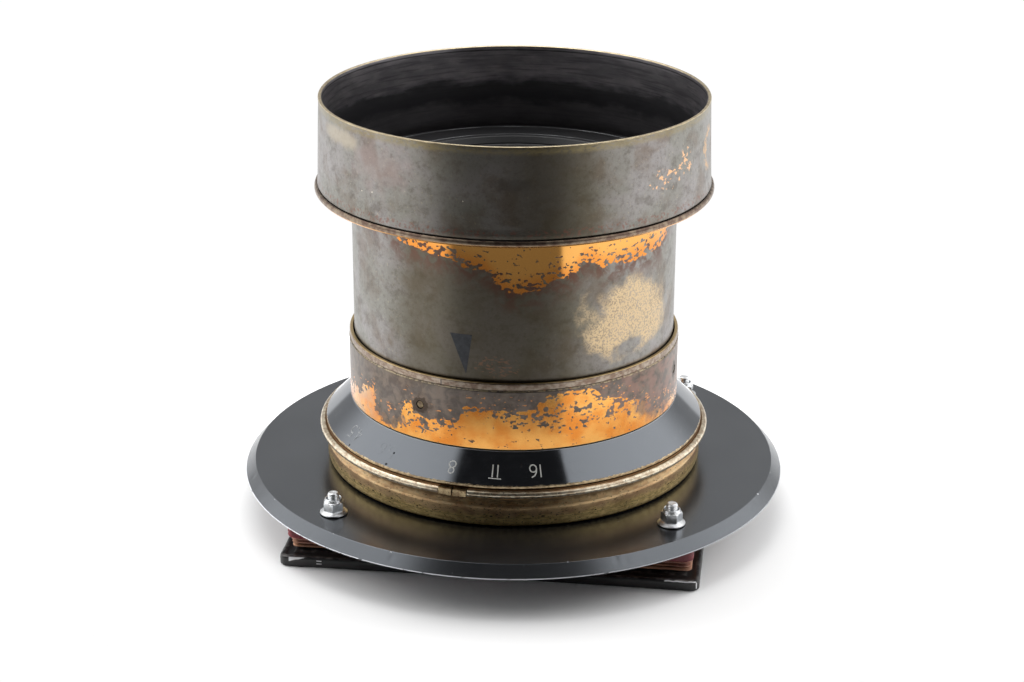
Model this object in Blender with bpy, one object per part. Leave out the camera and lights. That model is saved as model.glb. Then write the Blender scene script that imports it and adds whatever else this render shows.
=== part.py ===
"""Brass portrait lens on a round black lens disc, with its folded bellows and rear frame.

The lens stands on the back of its rear frame and looks straight up. The origin is on the
optical axis at the back face of the rear frame, and +Z points out through the hood.
Sizes below are in millimetres and become metres where a mesh is made.
"""

import math

import bmesh
import bpy
from mathutils import Matrix, Vector
from mathutils.geometry import convex_hull_2d

MM = 0.001
TURN = 2 * math.pi
SEGMENTS = 32

# Fits between pieces
GAP = 0.3
RUNNING = 0.6

# Rear frame, bellows and front board: rectangles, turned a little about the axis
REAR_ANGLE = math.radians(-7.35)
FRAME_SIZE = (178.0, 174.4)
FRAME_HEIGHT = 4.4
FRAME_CORNER = 3.5
FRAME_EDGE = 0.8
FRAME_OPENING = (142.0, 133.0)
BELLOWS_SIZE = (171.4, 160.0)
PLEATS = 4
PLEAT_DEPTH = 12.5
PLEAT_NOTCH = 1.6
BOARD_SIZE = (171.0, 168.0)
BOARD_HOLE_RADIUS = 76.5
BOARD_BOTTOM = 11.8
BOARD_CORNER = 3.0

# Lens disc and its four hand-drilled bolts
DISC_BOTTOM = 16.7
DISC_THICKNESS = 4.9
DISC_RADIUS = 120.3
DISC_BEVEL = 4.6
DISC_HOLE_RADIUS = 71.0
DISC_SEAT_RADIUS = 83.6
DISC_SEAT_DEPTH = 0.1
BOLT_CIRCLE_RADIUS = 102.3
BOLT_ANGLES = (-137.9, -49.6, 37.5, 130.0)
BOLT_RADIUS = 2.5
BOLT_HEAD_RADIUS = 4.6
BOLT_HEAD_EDGE = 0.5
BOLT_ABOVE_DISC = 9.6
NUT_FLANGE_RADIUS = 5.9
NUT_ACROSS_FLATS = 8.0
NUT_FLANGE_THICKNESS = 0.8
NUT_HEIGHT = 6.9
NUT_COLLAR_HEIGHT = 1.4

# Lens mount, from the back of the disc upwards
CLAMP_RING_RADIUS = 75.4
CLAMP_RING_BOTTOM = 13.0
SPIGOT_BOTTOM = 13.6
FLANGE_RADIUS = 83.2
FLANGE_TOP = 34.6
FLANGE_FOOT_ROUND = 2.6
FLANGE_COVE_BOTTOM = 31.4
HUB_RADIUS = 70.0
HUB_TOP = 46.6
INDEX_RING_BORE = 76.0
INDEX_RING_TOP = 38.6
INDEX_BLOCK_INNER = 83.7
INDEX_BLOCK_HEIGHT = 3.0
INDEX_BEAD_RADIUS = 86.4
INDEX_BEAD_HEIGHT = 37.7
INDEX_BEAD_SIZE = 1.6
INDEX_ANGLE = -107.2
INDEX_NOTCH_WIDTH = math.radians(8.5)
INDEX_LINE_WIDTH = 0.7
CONE_LOW_RADIUS = 83.6
CONE_TOP_RADIUS = 72.3
CONE_BOTTOM = 39.8
CONE_LIP_TOP = 41.0
CONE_LIP_WIDTH = 3.4
CONE_TOP = 52.2
COLLAR_RADIUS = 72.6
COLLAR_BOTTOM = 52.6
COLLAR_FLOOR_TOP = 56.4
COLLAR_BAND_TOP = 78.5
COLLAR_TOP = 82.3
SET_SCREW_ANGLES = (-122.7, -16.0, 110.6)
SET_SCREW_HEIGHT = 68.3
SET_SCREW_RADIUS = 1.6

# Main tube
TUBE_RADIUS = 66.0
TUBE_BORE = 62.5
TUBE_LAND_RADIUS = 67.4
TUBE_LAND = (56.6, 92.0)
TUBE_BOTTOM = 13.5
TUBE_TOP = 114.0

# Barrel and hood
BARREL_RADIUS = 70.3
BARREL_BORE = 68.0
BARREL_BOTTOM = 57.0
BARREL_TOP = 147.2
BARREL_FLARE = 0.5
BARREL_FLARE_START = 128.0
HOOD_BOTTOM = 145.7
HOOD_TOP = 186.7
HOOD_RIM_RADIUS = 83.5
HOOD_LOW_RADIUS = 84.7
HOOD_BEAD_RADIUS = 86.0
HOOD_WALL = 1.5
HOOD_BASE_HEIGHT = 2.8
HOOD_BASE_FLOOR = 1.5
GUIDE_GROOVE = (60.0, 64.0)
GUIDE_TRAVEL = 6.0
GUIDE_RING_INNER = 67.85
GUIDE_RING_OUTER = 68.7
GUIDE_RING_SPLIT = math.radians(10.0)
GUIDE_KEY_WIDTH = 5.0
GUIDE_KEY_ANGLE = math.radians(90.0)

# Iris
BLADES = 12
BLADE_PIVOT_RADIUS = 55.0
BLADE_INNER = 44.0
BLADE_OUTER = 58.5
BLADE_SPAN = math.radians(135.0)
BLADE_TAPER = math.radians(14.0)
BLADE_THICKNESS = 0.15
BLADE_RISE = 5.85
BLADE_PAD = 3.5
BLADE_BOTTOM = 42.1
BLADE_CLOSED_AT_REST = math.radians(20.15)
BLADE_PER_RING = 0.481
PIN_RADIUS = 0.8
RING_OPENS = math.radians(42.0)
RING_CLOSES = math.radians(-34.0)
IRIS_BORE = 44.2
SLOT_RING_BOTTOM = 48.5
SLOT_RING_RADIUS = 61.6
SLOT_RING_STEP = 58.8
SLOT_RING_PLATE = 1.4
SLOT_RING_HEIGHT = 3.0
IRIS_COVER = (51.9, 53.4)
DRIVE_SCREW_ANGLE = math.radians(60.0)
DRIVE_SCREW_HEIGHT = 50.0
DRIVE_SCREW_RADIUS = 1.2

# Lens cells: an inner radius for each tube, and the heights between which it runs
FRONT_CELL_BORE = 54.0
FRONT_CELL_OUTER = 67.6
FRONT_CELL_RIM = 78.2
FRONT_CELL_HEIGHTS = (134.0, 150.3)
MIDDLE_CELL_BORE = 46.0
MIDDLE_CELL_HEIGHTS = (98.0, 113.6)
REAR_CELL_BORE = 50.0
REAR_CELL_FLANGE = 64.4
REAR_CELL_HEIGHTS = (9.4, 27.0)

# Glass: radii of curvature are positive where the face bulges out, negative where it is hollow
FRONT_LENS = {"radius": 56.0, "seat": 139.5, "edge": 3.5, "front": 190.0, "back": -900.0}
MIDDLE_LENS = {"radius": 48.0, "seat": 100.6, "edge": 11.0, "front": -300.0, "back": -280.0}
REAR_LENS = {"radius": 52.0, "seat": 17.0, "edge": 4.0, "front": 700.0, "back": 170.0}


def clear_scene():
    for obj in list(bpy.data.objects):
        bpy.data.objects.remove(obj, do_unlink=True)


def material(name, colour, roughness, metallic, transmission=0.0):
    finish = bpy.data.materials.new(name)
    finish.use_nodes = True
    shader = finish.node_tree.nodes["Principled BSDF"]
    shader.inputs["Base Color"].default_value = (*colour, 1.0)
    shader.inputs["Roughness"].default_value = roughness
    shader.inputs["Metallic"].default_value = metallic
    shader.inputs["Transmission Weight"].default_value = transmission
    finish.diffuse_color = (*colour, 1.0)
    return finish


def new_object(name, mesh_builder, finish):
    """Turns a bmesh in millimetres into a named object in metres, with its faces pointing out."""
    bmesh.ops.recalc_face_normals(mesh_builder, faces=mesh_builder.faces)
    mesh_builder.transform(Matrix.Scale(MM, 4))
    mesh = bpy.data.meshes.new(name)
    mesh_builder.to_mesh(mesh)
    mesh_builder.free()
    if finish is not None:
        mesh.materials.append(finish)
    mesh.shade_smooth()
    mesh.set_sharp_from_angle(angle=math.radians(30))
    obj = bpy.data.objects.new(name, mesh)
    bpy.context.scene.collection.objects.link(obj)
    return obj


def lathe(name, profile, finish, segments=SEGMENTS, start=0.0, sweep=TURN):
    """Turns a closed profile of (radius, height) about the Z axis.

    A radius may be a function of the angle, for a piece such as a nut. Points at radius 0
    become single points on the axis. A sweep below a full turn gets an end face at each end.
    """
    builder = bmesh.new()
    full = abs(sweep - TURN) < 1e-9
    columns = segments if full else segments + 1
    rows = []
    for radius, height in profile:
        if radius == 0.0:
            rows.append([builder.verts.new((0.0, 0.0, height))] * columns)
            continue
        row = []
        for step in range(columns):
            angle = start + sweep * step / segments
            reach = radius(angle) if callable(radius) else radius
            row.append(builder.verts.new((reach * math.cos(angle), reach * math.sin(angle), height)))
        rows.append(row)
    for index, row in enumerate(rows):
        following = rows[(index + 1) % len(rows)]
        for step in range(segments):
            after = (step + 1) % columns
            corners = [row[step], row[after], following[after], following[step]]
            corners = list(dict.fromkeys(corners))
            if len(corners) > 2:
                builder.faces.new(corners)
    if not full:
        builder.faces.new([row[0] for row in rows])
        builder.faces.new([row[-1] for row in rows])
    return new_object(name, builder, finish)


def tube_profile(inner, outer, low, high):
    return [(inner, low), (outer, low), (outer, high), (inner, high)]


def arc_points(centre, radius, first, last, count):
    """Points of (radius, height) on a round part of a profile, angles in degrees."""
    points = []
    for step in range(count):
        angle = math.radians(first + (last - first) * step / (count - 1))
        points.append((centre[0] + radius * math.cos(angle), centre[1] + radius * math.sin(angle)))
    return points


def rounded_rectangle(width, depth, corner, steps=3):
    """Outline of a rectangle with round corners, counter-clockwise."""
    outline = []
    for quarter in range(4):
        sign_x = 1 if quarter in (0, 3) else -1
        sign_y = 1 if quarter in (0, 1) else -1
        centre = (sign_x * (width / 2 - corner), sign_y * (depth / 2 - corner))
        for step in range(steps + 1):
            angle = math.radians(90 * quarter + 90 * step / steps)
            outline.append((centre[0] + corner * math.cos(angle), centre[1] + corner * math.sin(angle)))
    return outline


def ring_of_outlines(name, outlines, finish):
    """Closes a list of (outline, height) into a ring-shaped solid, each joined to the next."""
    builder = bmesh.new()
    rows = []
    for outline, height in outlines:
        rows.append([builder.verts.new((x, y, height)) for x, y in outline])
    for index, row in enumerate(rows):
        following = rows[(index + 1) % len(rows)]
        count = len(row)
        for step in range(count):
            after = (step + 1) % count
            builder.faces.new([row[step], row[after], following[after], following[step]])
    return new_object(name, builder, finish)


def prisms(name, outlines, low, high):
    """Straight-sided solids over one or more outlines, used as a cutter."""
    builder = bmesh.new()
    for outline in outlines:
        bottom = [builder.verts.new((x, y, low)) for x, y in outline]
        top = [builder.verts.new((x, y, high)) for x, y in outline]
        builder.faces.new(bottom)
        builder.faces.new(top)
        for step in range(len(outline)):
            after = (step + 1) % len(outline)
            builder.faces.new([bottom[step], bottom[after], top[after], top[step]])
    return as_cutter(new_object(name, builder, None))


def as_cutter(obj):
    obj.hide_render = True
    obj.display_type = "WIRE"
    return obj


def combine(obj, tool, operation="DIFFERENCE"):
    step = obj.modifiers.new(tool.name, "BOOLEAN")
    step.operation = operation
    step.solver = "EXACT"
    step.object = tool


def circle_outline(centre, radius, count):
    return [(centre[0] + radius * math.cos(TURN * step / count),
             centre[1] + radius * math.sin(TURN * step / count)) for step in range(count)]


def polar(radius, angle):
    return (radius * math.cos(angle), radius * math.sin(angle))


def radial_cylinder(name, radius, near, far, angle, height, finish, segments=12):
    """A round bar that lies along a radius of the lens, from near to far."""
    profile = [(0.0, near), (radius, near), (radius, far), (0.0, far)]
    bar = lathe(name, profile, finish, segments)
    turned = Matrix.Rotation(angle, 4, "Z") @ Matrix.Rotation(math.pi / 2, 4, "Y")
    bar.data.transform(Matrix.Translation((0, 0, height * MM)) @ turned)
    return bar


def bolt_places():
    return [polar(BOLT_CIRCLE_RADIUS, math.radians(angle)) for angle in BOLT_ANGLES]


def make_rear_frame(finish):
    """Flat frame on the axis, with its upper outer edge taken off."""
    width, depth = FRAME_SIZE
    opening = rounded_rectangle(*FRAME_OPENING, 2.0)
    outside = rounded_rectangle(width, depth, FRAME_CORNER)
    inset = rounded_rectangle(width - 2 * FRAME_EDGE, depth - 2 * FRAME_EDGE,
                              FRAME_CORNER - FRAME_EDGE)
    rows = [(opening, 0.0), (outside, 0.0), (outside, FRAME_HEIGHT - FRAME_EDGE),
            (inset, FRAME_HEIGHT), (opening, FRAME_HEIGHT)]
    frame = ring_of_outlines("rear_frame", rows, finish)
    frame.rotation_euler.z = REAR_ANGLE
    return frame


def make_bellows(finish):
    """The folded leather as one solid: each pleat is a ridge outside and inside."""
    low = FRAME_HEIGHT + GAP
    high = BOARD_BOTTOM - GAP
    width, depth = BELLOWS_SIZE
    inner_width = width - 2 * PLEAT_DEPTH
    inner_depth = depth - 2 * PLEAT_DEPTH
    step = (high - low) / PLEATS
    outer_rows = []
    for pleat in range(PLEATS):
        base = low + pleat * step
        for part, notch in ((0.05, PLEAT_NOTCH), (0.5, 0.0), (0.95, PLEAT_NOTCH)):
            outline = rounded_rectangle(width - 2 * notch, depth - 2 * notch, 3.0, 1)
            outer_rows.append((outline, base + part * step))
    inner = rounded_rectangle(inner_width, inner_depth, 1.5, 1)
    rows = outer_rows + [(inner, outer_rows[-1][1]), (inner, outer_rows[0][1])]
    bellows = ring_of_outlines("bellows", rows, finish)
    bellows.rotation_euler.z = REAR_ANGLE
    return bellows


def make_front_board(finish):
    """Board behind the disc: its four bolts are sunk into its back."""
    high = DISC_BOTTOM - GAP
    outline = rounded_rectangle(*BOARD_SIZE, BOARD_CORNER)
    builder = bmesh.new()
    bottom = [builder.verts.new((x, y, BOARD_BOTTOM)) for x, y in outline]
    top = [builder.verts.new((x, y, high)) for x, y in outline]
    builder.faces.new(bottom)
    builder.faces.new(top)
    for step in range(len(outline)):
        after = (step + 1) % len(outline)
        builder.faces.new([bottom[step], bottom[after], top[after], top[step]])
    builder.transform(Matrix.Rotation(REAR_ANGLE, 4, "Z"))
    board = new_object("front_board", builder, finish)
    hole = prisms("front_board_hole", [circle_outline((0, 0), BOARD_HOLE_RADIUS, SEGMENTS)],
                  BOARD_BOTTOM - 1, high + 1)
    combine(board, hole)
    for number, place in enumerate(bolt_places(), 1):
        sink = (BOLT_HEAD_RADIUS + GAP, BOARD_BOTTOM - 1)
        rim = (BOLT_HEAD_RADIUS + GAP, BOARD_BOTTOM + 0.1 + BOLT_HEAD_EDGE)
        neck = (BOLT_RADIUS + GAP, rim[1] + BOLT_HEAD_RADIUS - BOLT_RADIUS)
        end = (BOLT_RADIUS + GAP, high + 1)
        cutter = lathe(f"front_board_sink_{number}",
                       [(0.0, sink[1]), sink, rim, neck, end, (0.0, end[1])], None, 12)
        cutter.location = (place[0] * MM, place[1] * MM, 0.0)
        combine(board, as_cutter(cutter))
    return board


def make_lens_disc(finish):
    """Flat disc with a bevelled edge. A shallow seat round its hole takes the base ring."""
    top = DISC_BOTTOM + DISC_THICKNESS
    seat = top - DISC_SEAT_DEPTH
    profile = [(DISC_HOLE_RADIUS, DISC_BOTTOM), (DISC_RADIUS, DISC_BOTTOM),
               (DISC_RADIUS - DISC_BEVEL, top), (DISC_SEAT_RADIUS, top),
               (DISC_SEAT_RADIUS, seat), (DISC_HOLE_RADIUS, seat)]
    disc = lathe("lens_disc", profile, finish)
    holes = [circle_outline(place, BOLT_RADIUS + GAP, 12) for place in bolt_places()]
    combine(disc, prisms("lens_disc_bolt_holes", holes, DISC_BOTTOM - 1, top + 1))
    return disc


def make_bolt(number, place, finish):
    head = BOARD_BOTTOM + 0.1
    tip = DISC_BOTTOM + DISC_THICKNESS + BOLT_ABOVE_DISC
    profile = [(0.0, head), (BOLT_HEAD_RADIUS, head), (BOLT_HEAD_RADIUS, head + BOLT_HEAD_EDGE),
               (BOLT_RADIUS, head + BOLT_HEAD_EDGE + BOLT_HEAD_RADIUS - BOLT_RADIUS),
               (BOLT_RADIUS, tip - 0.6), (BOLT_RADIUS - 0.6, tip), (0.0, tip)]
    bolt = lathe(f"disc_bolt_{number}", profile, finish, 12)
    bolt.location = (place[0] * MM, place[1] * MM, 0.0)
    return bolt


def hexagon_radius(angle):
    """Distance from the axis to the side of the nut's hexagon at this angle."""
    side = TURN / 6
    return NUT_ACROSS_FLATS / 2 / math.cos((angle % side) - side / 2)


def make_nut(number, place, finish):
    """Flange nut with a nylon insert: flange, hexagon, round collar."""
    low = DISC_BOTTOM + DISC_THICKNESS + GAP
    high = low + NUT_HEIGHT
    bore = BOLT_RADIUS + GAP
    profile = [(bore, low), (NUT_FLANGE_RADIUS, low), (NUT_FLANGE_RADIUS, low + NUT_FLANGE_THICKNESS),
               (hexagon_radius, low + 1.7), (hexagon_radius, high - NUT_COLLAR_HEIGHT),
               (NUT_ACROSS_FLATS / 2 - 0.3, high - 0.9), (NUT_ACROSS_FLATS / 2 - 0.5, high),
               (bore, high)]
    nut = lathe(f"flange_nut_{number}", profile, finish, 12)
    nut.location = (place[0] * MM, place[1] * MM, 0.0)
    return nut


def make_clamp_ring(finish):
    """Ring behind the disc that screws on the base ring's spigot and holds it to the disc."""
    profile = tube_profile(DISC_HOLE_RADIUS, CLAMP_RING_RADIUS, CLAMP_RING_BOTTOM, DISC_BOTTOM - GAP)
    return lathe("rear_clamp_ring", profile, finish)


def make_mounting_flange(finish):
    """Turned base ring: rounded foot, groove, plain band, cove, seat and bearing hub."""
    foot = DISC_BOTTOM + DISC_THICKNESS + GAP
    bore = TUBE_RADIUS + GAP
    spigot = DISC_HOLE_RADIUS - GAP
    foot_round = FLANGE_FOOT_ROUND
    outer = arc_points((FLANGE_RADIUS - foot_round, foot + foot_round), foot_round, -90, 0, 4)
    groove = [(FLANGE_RADIUS - 0.7, foot + 4.2), (FLANGE_RADIUS, foot + 4.8)]
    cove = [(FLANGE_RADIUS, FLANGE_COVE_BOTTOM), (FLANGE_RADIUS - 1.6, FLANGE_COVE_BOTTOM + 1.0),
            (FLANGE_RADIUS - 2.2, FLANGE_TOP)]
    profile = ([(bore, SPIGOT_BOTTOM), (spigot, SPIGOT_BOTTOM), (spigot, foot)] + outer + groove
               + cove + [(HUB_RADIUS, FLANGE_TOP), (HUB_RADIUS, HUB_TOP), (bore, HUB_TOP)])
    return lathe("mounting_flange", profile, finish)


def make_index_ring(finish):
    """Ring with a round bead. A notch in the bead holds the two index blocks."""
    low = FLANGE_TOP + GAP
    bead_centre = INDEX_BEAD_RADIUS - INDEX_BEAD_SIZE
    bead = arc_points((bead_centre, INDEX_BEAD_HEIGHT), INDEX_BEAD_SIZE, -110, 110, 6)
    profile = ([(INDEX_RING_BORE, low), (bead_centre - 2.4, low)] + bead
               + [(bead_centre - 1.8, INDEX_RING_TOP), (INDEX_RING_BORE, INDEX_RING_TOP)])
    ring = lathe("index_ring", profile, finish)
    floor = INDEX_BLOCK_INNER - 0.4
    notch = lathe("index_ring_notch", tube_profile(floor, 90.0, low - 0.5, 41.0), None, 4,
                  math.radians(INDEX_ANGLE) - INDEX_NOTCH_WIDTH / 2, INDEX_NOTCH_WIDTH)
    combine(ring, as_cutter(notch))
    return ring


def make_index_block(name, side, finish):
    """One of the two small blocks that fill the notch and leave the index line between them."""
    line = INDEX_LINE_WIDTH / 2 / INDEX_BEAD_RADIUS
    play = GAP / INDEX_BEAD_RADIUS
    width = INDEX_NOTCH_WIDTH / 2 - line - play
    centre = math.radians(INDEX_ANGLE)
    start = centre + line if side > 0 else centre - line - width
    low = INDEX_BEAD_HEIGHT - INDEX_BLOCK_HEIGHT / 2
    high = INDEX_BEAD_HEIGHT + INDEX_BLOCK_HEIGHT / 2
    profile = tube_profile(INDEX_BLOCK_INNER, INDEX_BEAD_RADIUS, low, high)
    return lathe(name, profile, finish, 3, start, width)


def make_main_tube(finish):
    """Tube that carries everything, with a land for the barrel's thread and two kinds of slot."""
    land_low, land_high = TUBE_LAND
    profile = [(TUBE_BORE, TUBE_BOTTOM), (TUBE_RADIUS, TUBE_BOTTOM), (TUBE_RADIUS, land_low),
               (TUBE_LAND_RADIUS, land_low + 1), (TUBE_LAND_RADIUS, land_high),
               (TUBE_RADIUS, land_high + 1), (TUBE_RADIUS, TUBE_TOP), (TUBE_BORE, TUBE_TOP)]
    tube = lathe("main_tube", profile, finish)
    play = math.radians(2.6)
    iris_slot = lathe("main_tube_iris_slot", tube_profile(60.0, 69.0, 48.3, 51.7), None, 12,
                      DRIVE_SCREW_ANGLE + RING_CLOSES - play, RING_OPENS - RING_CLOSES + 2 * play)
    combine(tube, as_cutter(iris_slot))
    key_half = (GUIDE_KEY_WIDTH / 2 + GAP) / TUBE_LAND_RADIUS
    key_slot = lathe("main_tube_key_slot",
                     tube_profile(65.3, 69.0, GUIDE_GROOVE[0] - 1.0, GUIDE_GROOVE[1] + GUIDE_TRAVEL + 1),
                     None, 2, GUIDE_KEY_ANGLE - key_half, 2 * key_half)
    combine(tube, as_cutter(key_slot))
    return tube


def make_guide_ring(finish):
    """Split ring in the barrel's groove. Its key slides in a straight slot of the main tube."""
    low = GUIDE_GROOVE[0] + 0.4
    high = GUIDE_GROOVE[1] - 0.4
    split = GUIDE_RING_SPLIT
    opposite = GUIDE_KEY_ANGLE + math.pi
    profile = tube_profile(GUIDE_RING_INNER, GUIDE_RING_OUTER, low, high)
    ring = lathe("guide_ring", profile, finish, 36,
                 opposite + split / 2, TURN - split)
    key_half = GUIDE_KEY_WIDTH / 2 / TUBE_LAND_RADIUS
    key = lathe("guide_ring_key", tube_profile(66.0, 68.3, low + 0.2, high - 0.2), None, 2,
                GUIDE_KEY_ANGLE - key_half, 2 * key_half)
    combine(ring, as_cutter(key), "UNION")
    return ring


def make_collar(finish):
    """Fixed sleeve round the barrel, with a beaded upper edge and holes for its set screws."""
    inner = BARREL_RADIUS + RUNNING
    neck = TUBE_RADIUS + GAP
    band = [(COLLAR_RADIUS, COLLAR_BOTTOM), (COLLAR_RADIUS, COLLAR_BAND_TOP),
            (COLLAR_RADIUS - 0.6, COLLAR_BAND_TOP + 0.5)]
    edge = [(COLLAR_RADIUS - 0.2, COLLAR_BAND_TOP + 1.0), (COLLAR_RADIUS - 0.2, COLLAR_TOP - 0.4),
            (COLLAR_RADIUS - 0.6, COLLAR_TOP)]
    profile = ([(neck, COLLAR_BOTTOM)] + band + edge
               + [(inner, COLLAR_TOP), (inner, COLLAR_FLOOR_TOP), (neck, COLLAR_FLOOR_TOP)])
    collar = lathe("collar", profile, finish)
    for number, angle in enumerate(SET_SCREW_ANGLES, 1):
        hole = radial_cylinder(f"collar_hole_{number}", SET_SCREW_RADIUS + GAP, 69.0, 76.0,
                               math.radians(angle), SET_SCREW_HEIGHT, None)
        combine(collar, as_cutter(hole))
    return collar


def make_set_screw(number, angle, finish):
    near = BARREL_RADIUS + RUNNING + 0.1
    far = COLLAR_RADIUS - 0.1
    return radial_cylinder(f"collar_screw_{number}", SET_SCREW_RADIUS, near, far,
                           math.radians(angle), SET_SCREW_HEIGHT, finish, 10)


def make_aperture_ring(finish):
    """Conical ring with the aperture scale: brass lip, cone, and a hub that turns on the flange."""
    bore = TUBE_RADIUS + RUNNING
    hub_low = HUB_TOP + 0.4
    hub_radius = HUB_RADIUS + 1.6
    profile = [(bore, hub_low), (hub_radius, hub_low), (CONE_LOW_RADIUS - CONE_LIP_WIDTH, CONE_BOTTOM),
               (CONE_LOW_RADIUS, CONE_BOTTOM),
               (CONE_LOW_RADIUS, CONE_LIP_TOP), (CONE_TOP_RADIUS, CONE_TOP), (bore, CONE_TOP)]
    ring = lathe("aperture_ring", profile, finish)
    hole = radial_cylinder("aperture_ring_hole", DRIVE_SCREW_RADIUS + GAP, 62.0, 84.0,
                           DRIVE_SCREW_ANGLE, DRIVE_SCREW_HEIGHT, None)
    combine(ring, as_cutter(hole))
    return ring


def make_drive_screw(finish):
    """Joins the aperture ring to the slotted ring, through the slot in the main tube."""
    return radial_cylinder("iris_drive_screw", DRIVE_SCREW_RADIUS, 59.4, 73.2,
                           DRIVE_SCREW_ANGLE, DRIVE_SCREW_HEIGHT, finish, 10)


def blade_stations():
    """Angles along a blade, with its inner and outer radius there: a crescent with round ends."""
    pad_angle = BLADE_PAD / BLADE_PIVOT_RADIUS
    count = 9
    angles = [-pad_angle * part for part in (0.95, 0.6)]
    angles += [BLADE_SPAN * step / count for step in range(count + 1)]
    angles += [BLADE_SPAN + pad_angle * part for part in (0.6, 0.95)]
    stations = []
    for angle in angles:
        beyond = max(-angle, angle - BLADE_SPAN, 0.0)
        half_pad = math.sqrt(BLADE_PAD ** 2 - (beyond * BLADE_PIVOT_RADIUS) ** 2)
        inside = min(max(min(angle, BLADE_SPAN - angle) / BLADE_TAPER, 0.0), 1.0)
        pad_inner = BLADE_PIVOT_RADIUS - half_pad
        inner = pad_inner + (BLADE_INNER - pad_inner) * inside
        outer = BLADE_PIVOT_RADIUS + half_pad
        stations.append((angle, inner, outer if beyond else BLADE_OUTER))
    return stations


def blade_point(radius, angle, height):
    """A point of a blade about its pivot, with the blade fully open and running clockwise."""
    return (radius * math.cos(angle) - BLADE_PIVOT_RADIUS, -radius * math.sin(angle), height)


def make_blade_mesh(finish):
    """One crescent that climbs from its pivot to its driven end, so that the blades interleave."""
    builder = bmesh.new()
    rows = []
    for angle, inner, outer in blade_stations():
        climb = min(max(angle / BLADE_SPAN, 0.0), 1.0) * BLADE_RISE
        low = BLADE_BOTTOM + climb
        high = low + BLADE_THICKNESS
        corners = [(inner, low), (outer, low), (outer, high), (inner, high)]
        rows.append([builder.verts.new(blade_point(r, angle, h)) for r, h in corners])
    for row, following in zip(rows, rows[1:]):
        for step in range(4):
            after = (step + 1) % 4
            builder.faces.new([row[step], row[after], following[after], following[step]])
    builder.faces.new(rows[0])
    builder.faces.new(rows[-1])
    blade = as_cutter(new_object("blade_pattern", builder, finish))
    pivot_pin = pin("blade_pivot_pin", (0.0, 0.0), BLADE_BOTTOM - 1.4, BLADE_BOTTOM + 0.27)
    driven = blade_point(BLADE_PIVOT_RADIUS, BLADE_SPAN, 0.0)
    driven_low = BLADE_BOTTOM + BLADE_RISE
    driven_pin = pin("blade_driven_pin", driven, driven_low - 0.12, SLOT_RING_BOTTOM + 1.7)
    combine(blade, pivot_pin, "UNION")
    combine(blade, driven_pin, "UNION")
    finished = blade.evaluated_get(bpy.context.evaluated_depsgraph_get())
    mesh = bpy.data.meshes.new_from_object(finished)
    mesh.name = "iris_blade"
    for obj in (blade, pivot_pin, driven_pin):
        bpy.data.objects.remove(obj, do_unlink=True)
    return mesh


def pin(name, centre, low, high):
    return prisms(name, [circle_outline(centre, PIN_RADIUS, 8)], low, high)


def make_blades(finish):
    """Twelve copies of the blade, each with its origin on its own pivot."""
    mesh = make_blade_mesh(finish)
    blades = []
    for number in range(BLADES):
        angle = TURN * number / BLADES
        blade = bpy.data.objects.new(f"iris_blade_{number + 1:02d}", mesh)
        x, y = polar(BLADE_PIVOT_RADIUS, angle)
        blade.location = (x * MM, y * MM, 0.0)
        blade.rotation_euler.z = angle - BLADE_CLOSED_AT_REST
        bpy.context.scene.collection.objects.link(blade)
        blades.append(blade)
    return blades


def driven_pin_in_ring(blade_angle, ring_turn):
    """Where the driven pin is, seen from the slotted ring, when the ring has turned this much."""
    closed = BLADE_CLOSED_AT_REST - BLADE_PER_RING * ring_turn
    pivot = Vector(polar(BLADE_PIVOT_RADIUS, blade_angle))
    arm = Vector(blade_point(BLADE_PIVOT_RADIUS, BLADE_SPAN, 0.0)[:2])
    place = pivot + Matrix.Rotation(blade_angle - closed, 2) @ arm
    return Matrix.Rotation(-ring_turn, 2) @ place


def slot_outline(blade_angle):
    """The slot that the driven pin sweeps, with clearance: the hull of the pin's places."""
    places = 9
    cloud = []
    for step in range(places):
        turn = RING_CLOSES + (RING_OPENS - RING_CLOSES) * step / (places - 1)
        centre = driven_pin_in_ring(blade_angle, turn)
        cloud += [Vector(point) for point in circle_outline(centre, PIN_RADIUS + 0.45, 8)]
    return [tuple(cloud[index]) for index in convex_hull_2d(cloud)]


def make_iris_slot_ring(finish):
    """Ring that the aperture ring turns: twelve slots drive the blades."""
    low = SLOT_RING_BOTTOM
    plate = low + SLOT_RING_PLATE
    high = low + SLOT_RING_HEIGHT
    profile = [(IRIS_BORE, low), (SLOT_RING_RADIUS, low), (SLOT_RING_RADIUS, high),
               (SLOT_RING_STEP, high), (SLOT_RING_STEP, plate), (IRIS_BORE, plate)]
    ring = lathe("iris_slot_ring", profile, finish)
    slots = [slot_outline(TURN * number / BLADES) for number in range(BLADES)]
    combine(ring, prisms("iris_slot_ring_slots", slots, low - 1, plate + 1))
    hole = radial_cylinder("iris_slot_ring_hole", DRIVE_SCREW_RADIUS + GAP / 2, 56.0, 64.0,
                           DRIVE_SCREW_ANGLE, DRIVE_SCREW_HEIGHT, None, 10)
    combine(ring, as_cutter(hole))
    return ring


def make_iris_base_plate(finish):
    """Plate below the blades, with a hole for each pivot pin."""
    high = BLADE_BOTTOM - 0.4
    low = high - 1.2
    plate = lathe("iris_base_plate", tube_profile(IRIS_BORE, TUBE_BORE - GAP, low, high), finish)
    holes = [circle_outline(polar(BLADE_PIVOT_RADIUS, TURN * number / BLADES), PIN_RADIUS + GAP, 8)
             for number in range(BLADES)]
    combine(plate, prisms("iris_base_plate_holes", holes, low - 1, high + 1))
    return plate


def make_iris_cover_ring(finish):
    return lathe("iris_cover_ring", tube_profile(58.0, TUBE_BORE - GAP, *IRIS_COVER), finish)


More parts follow.
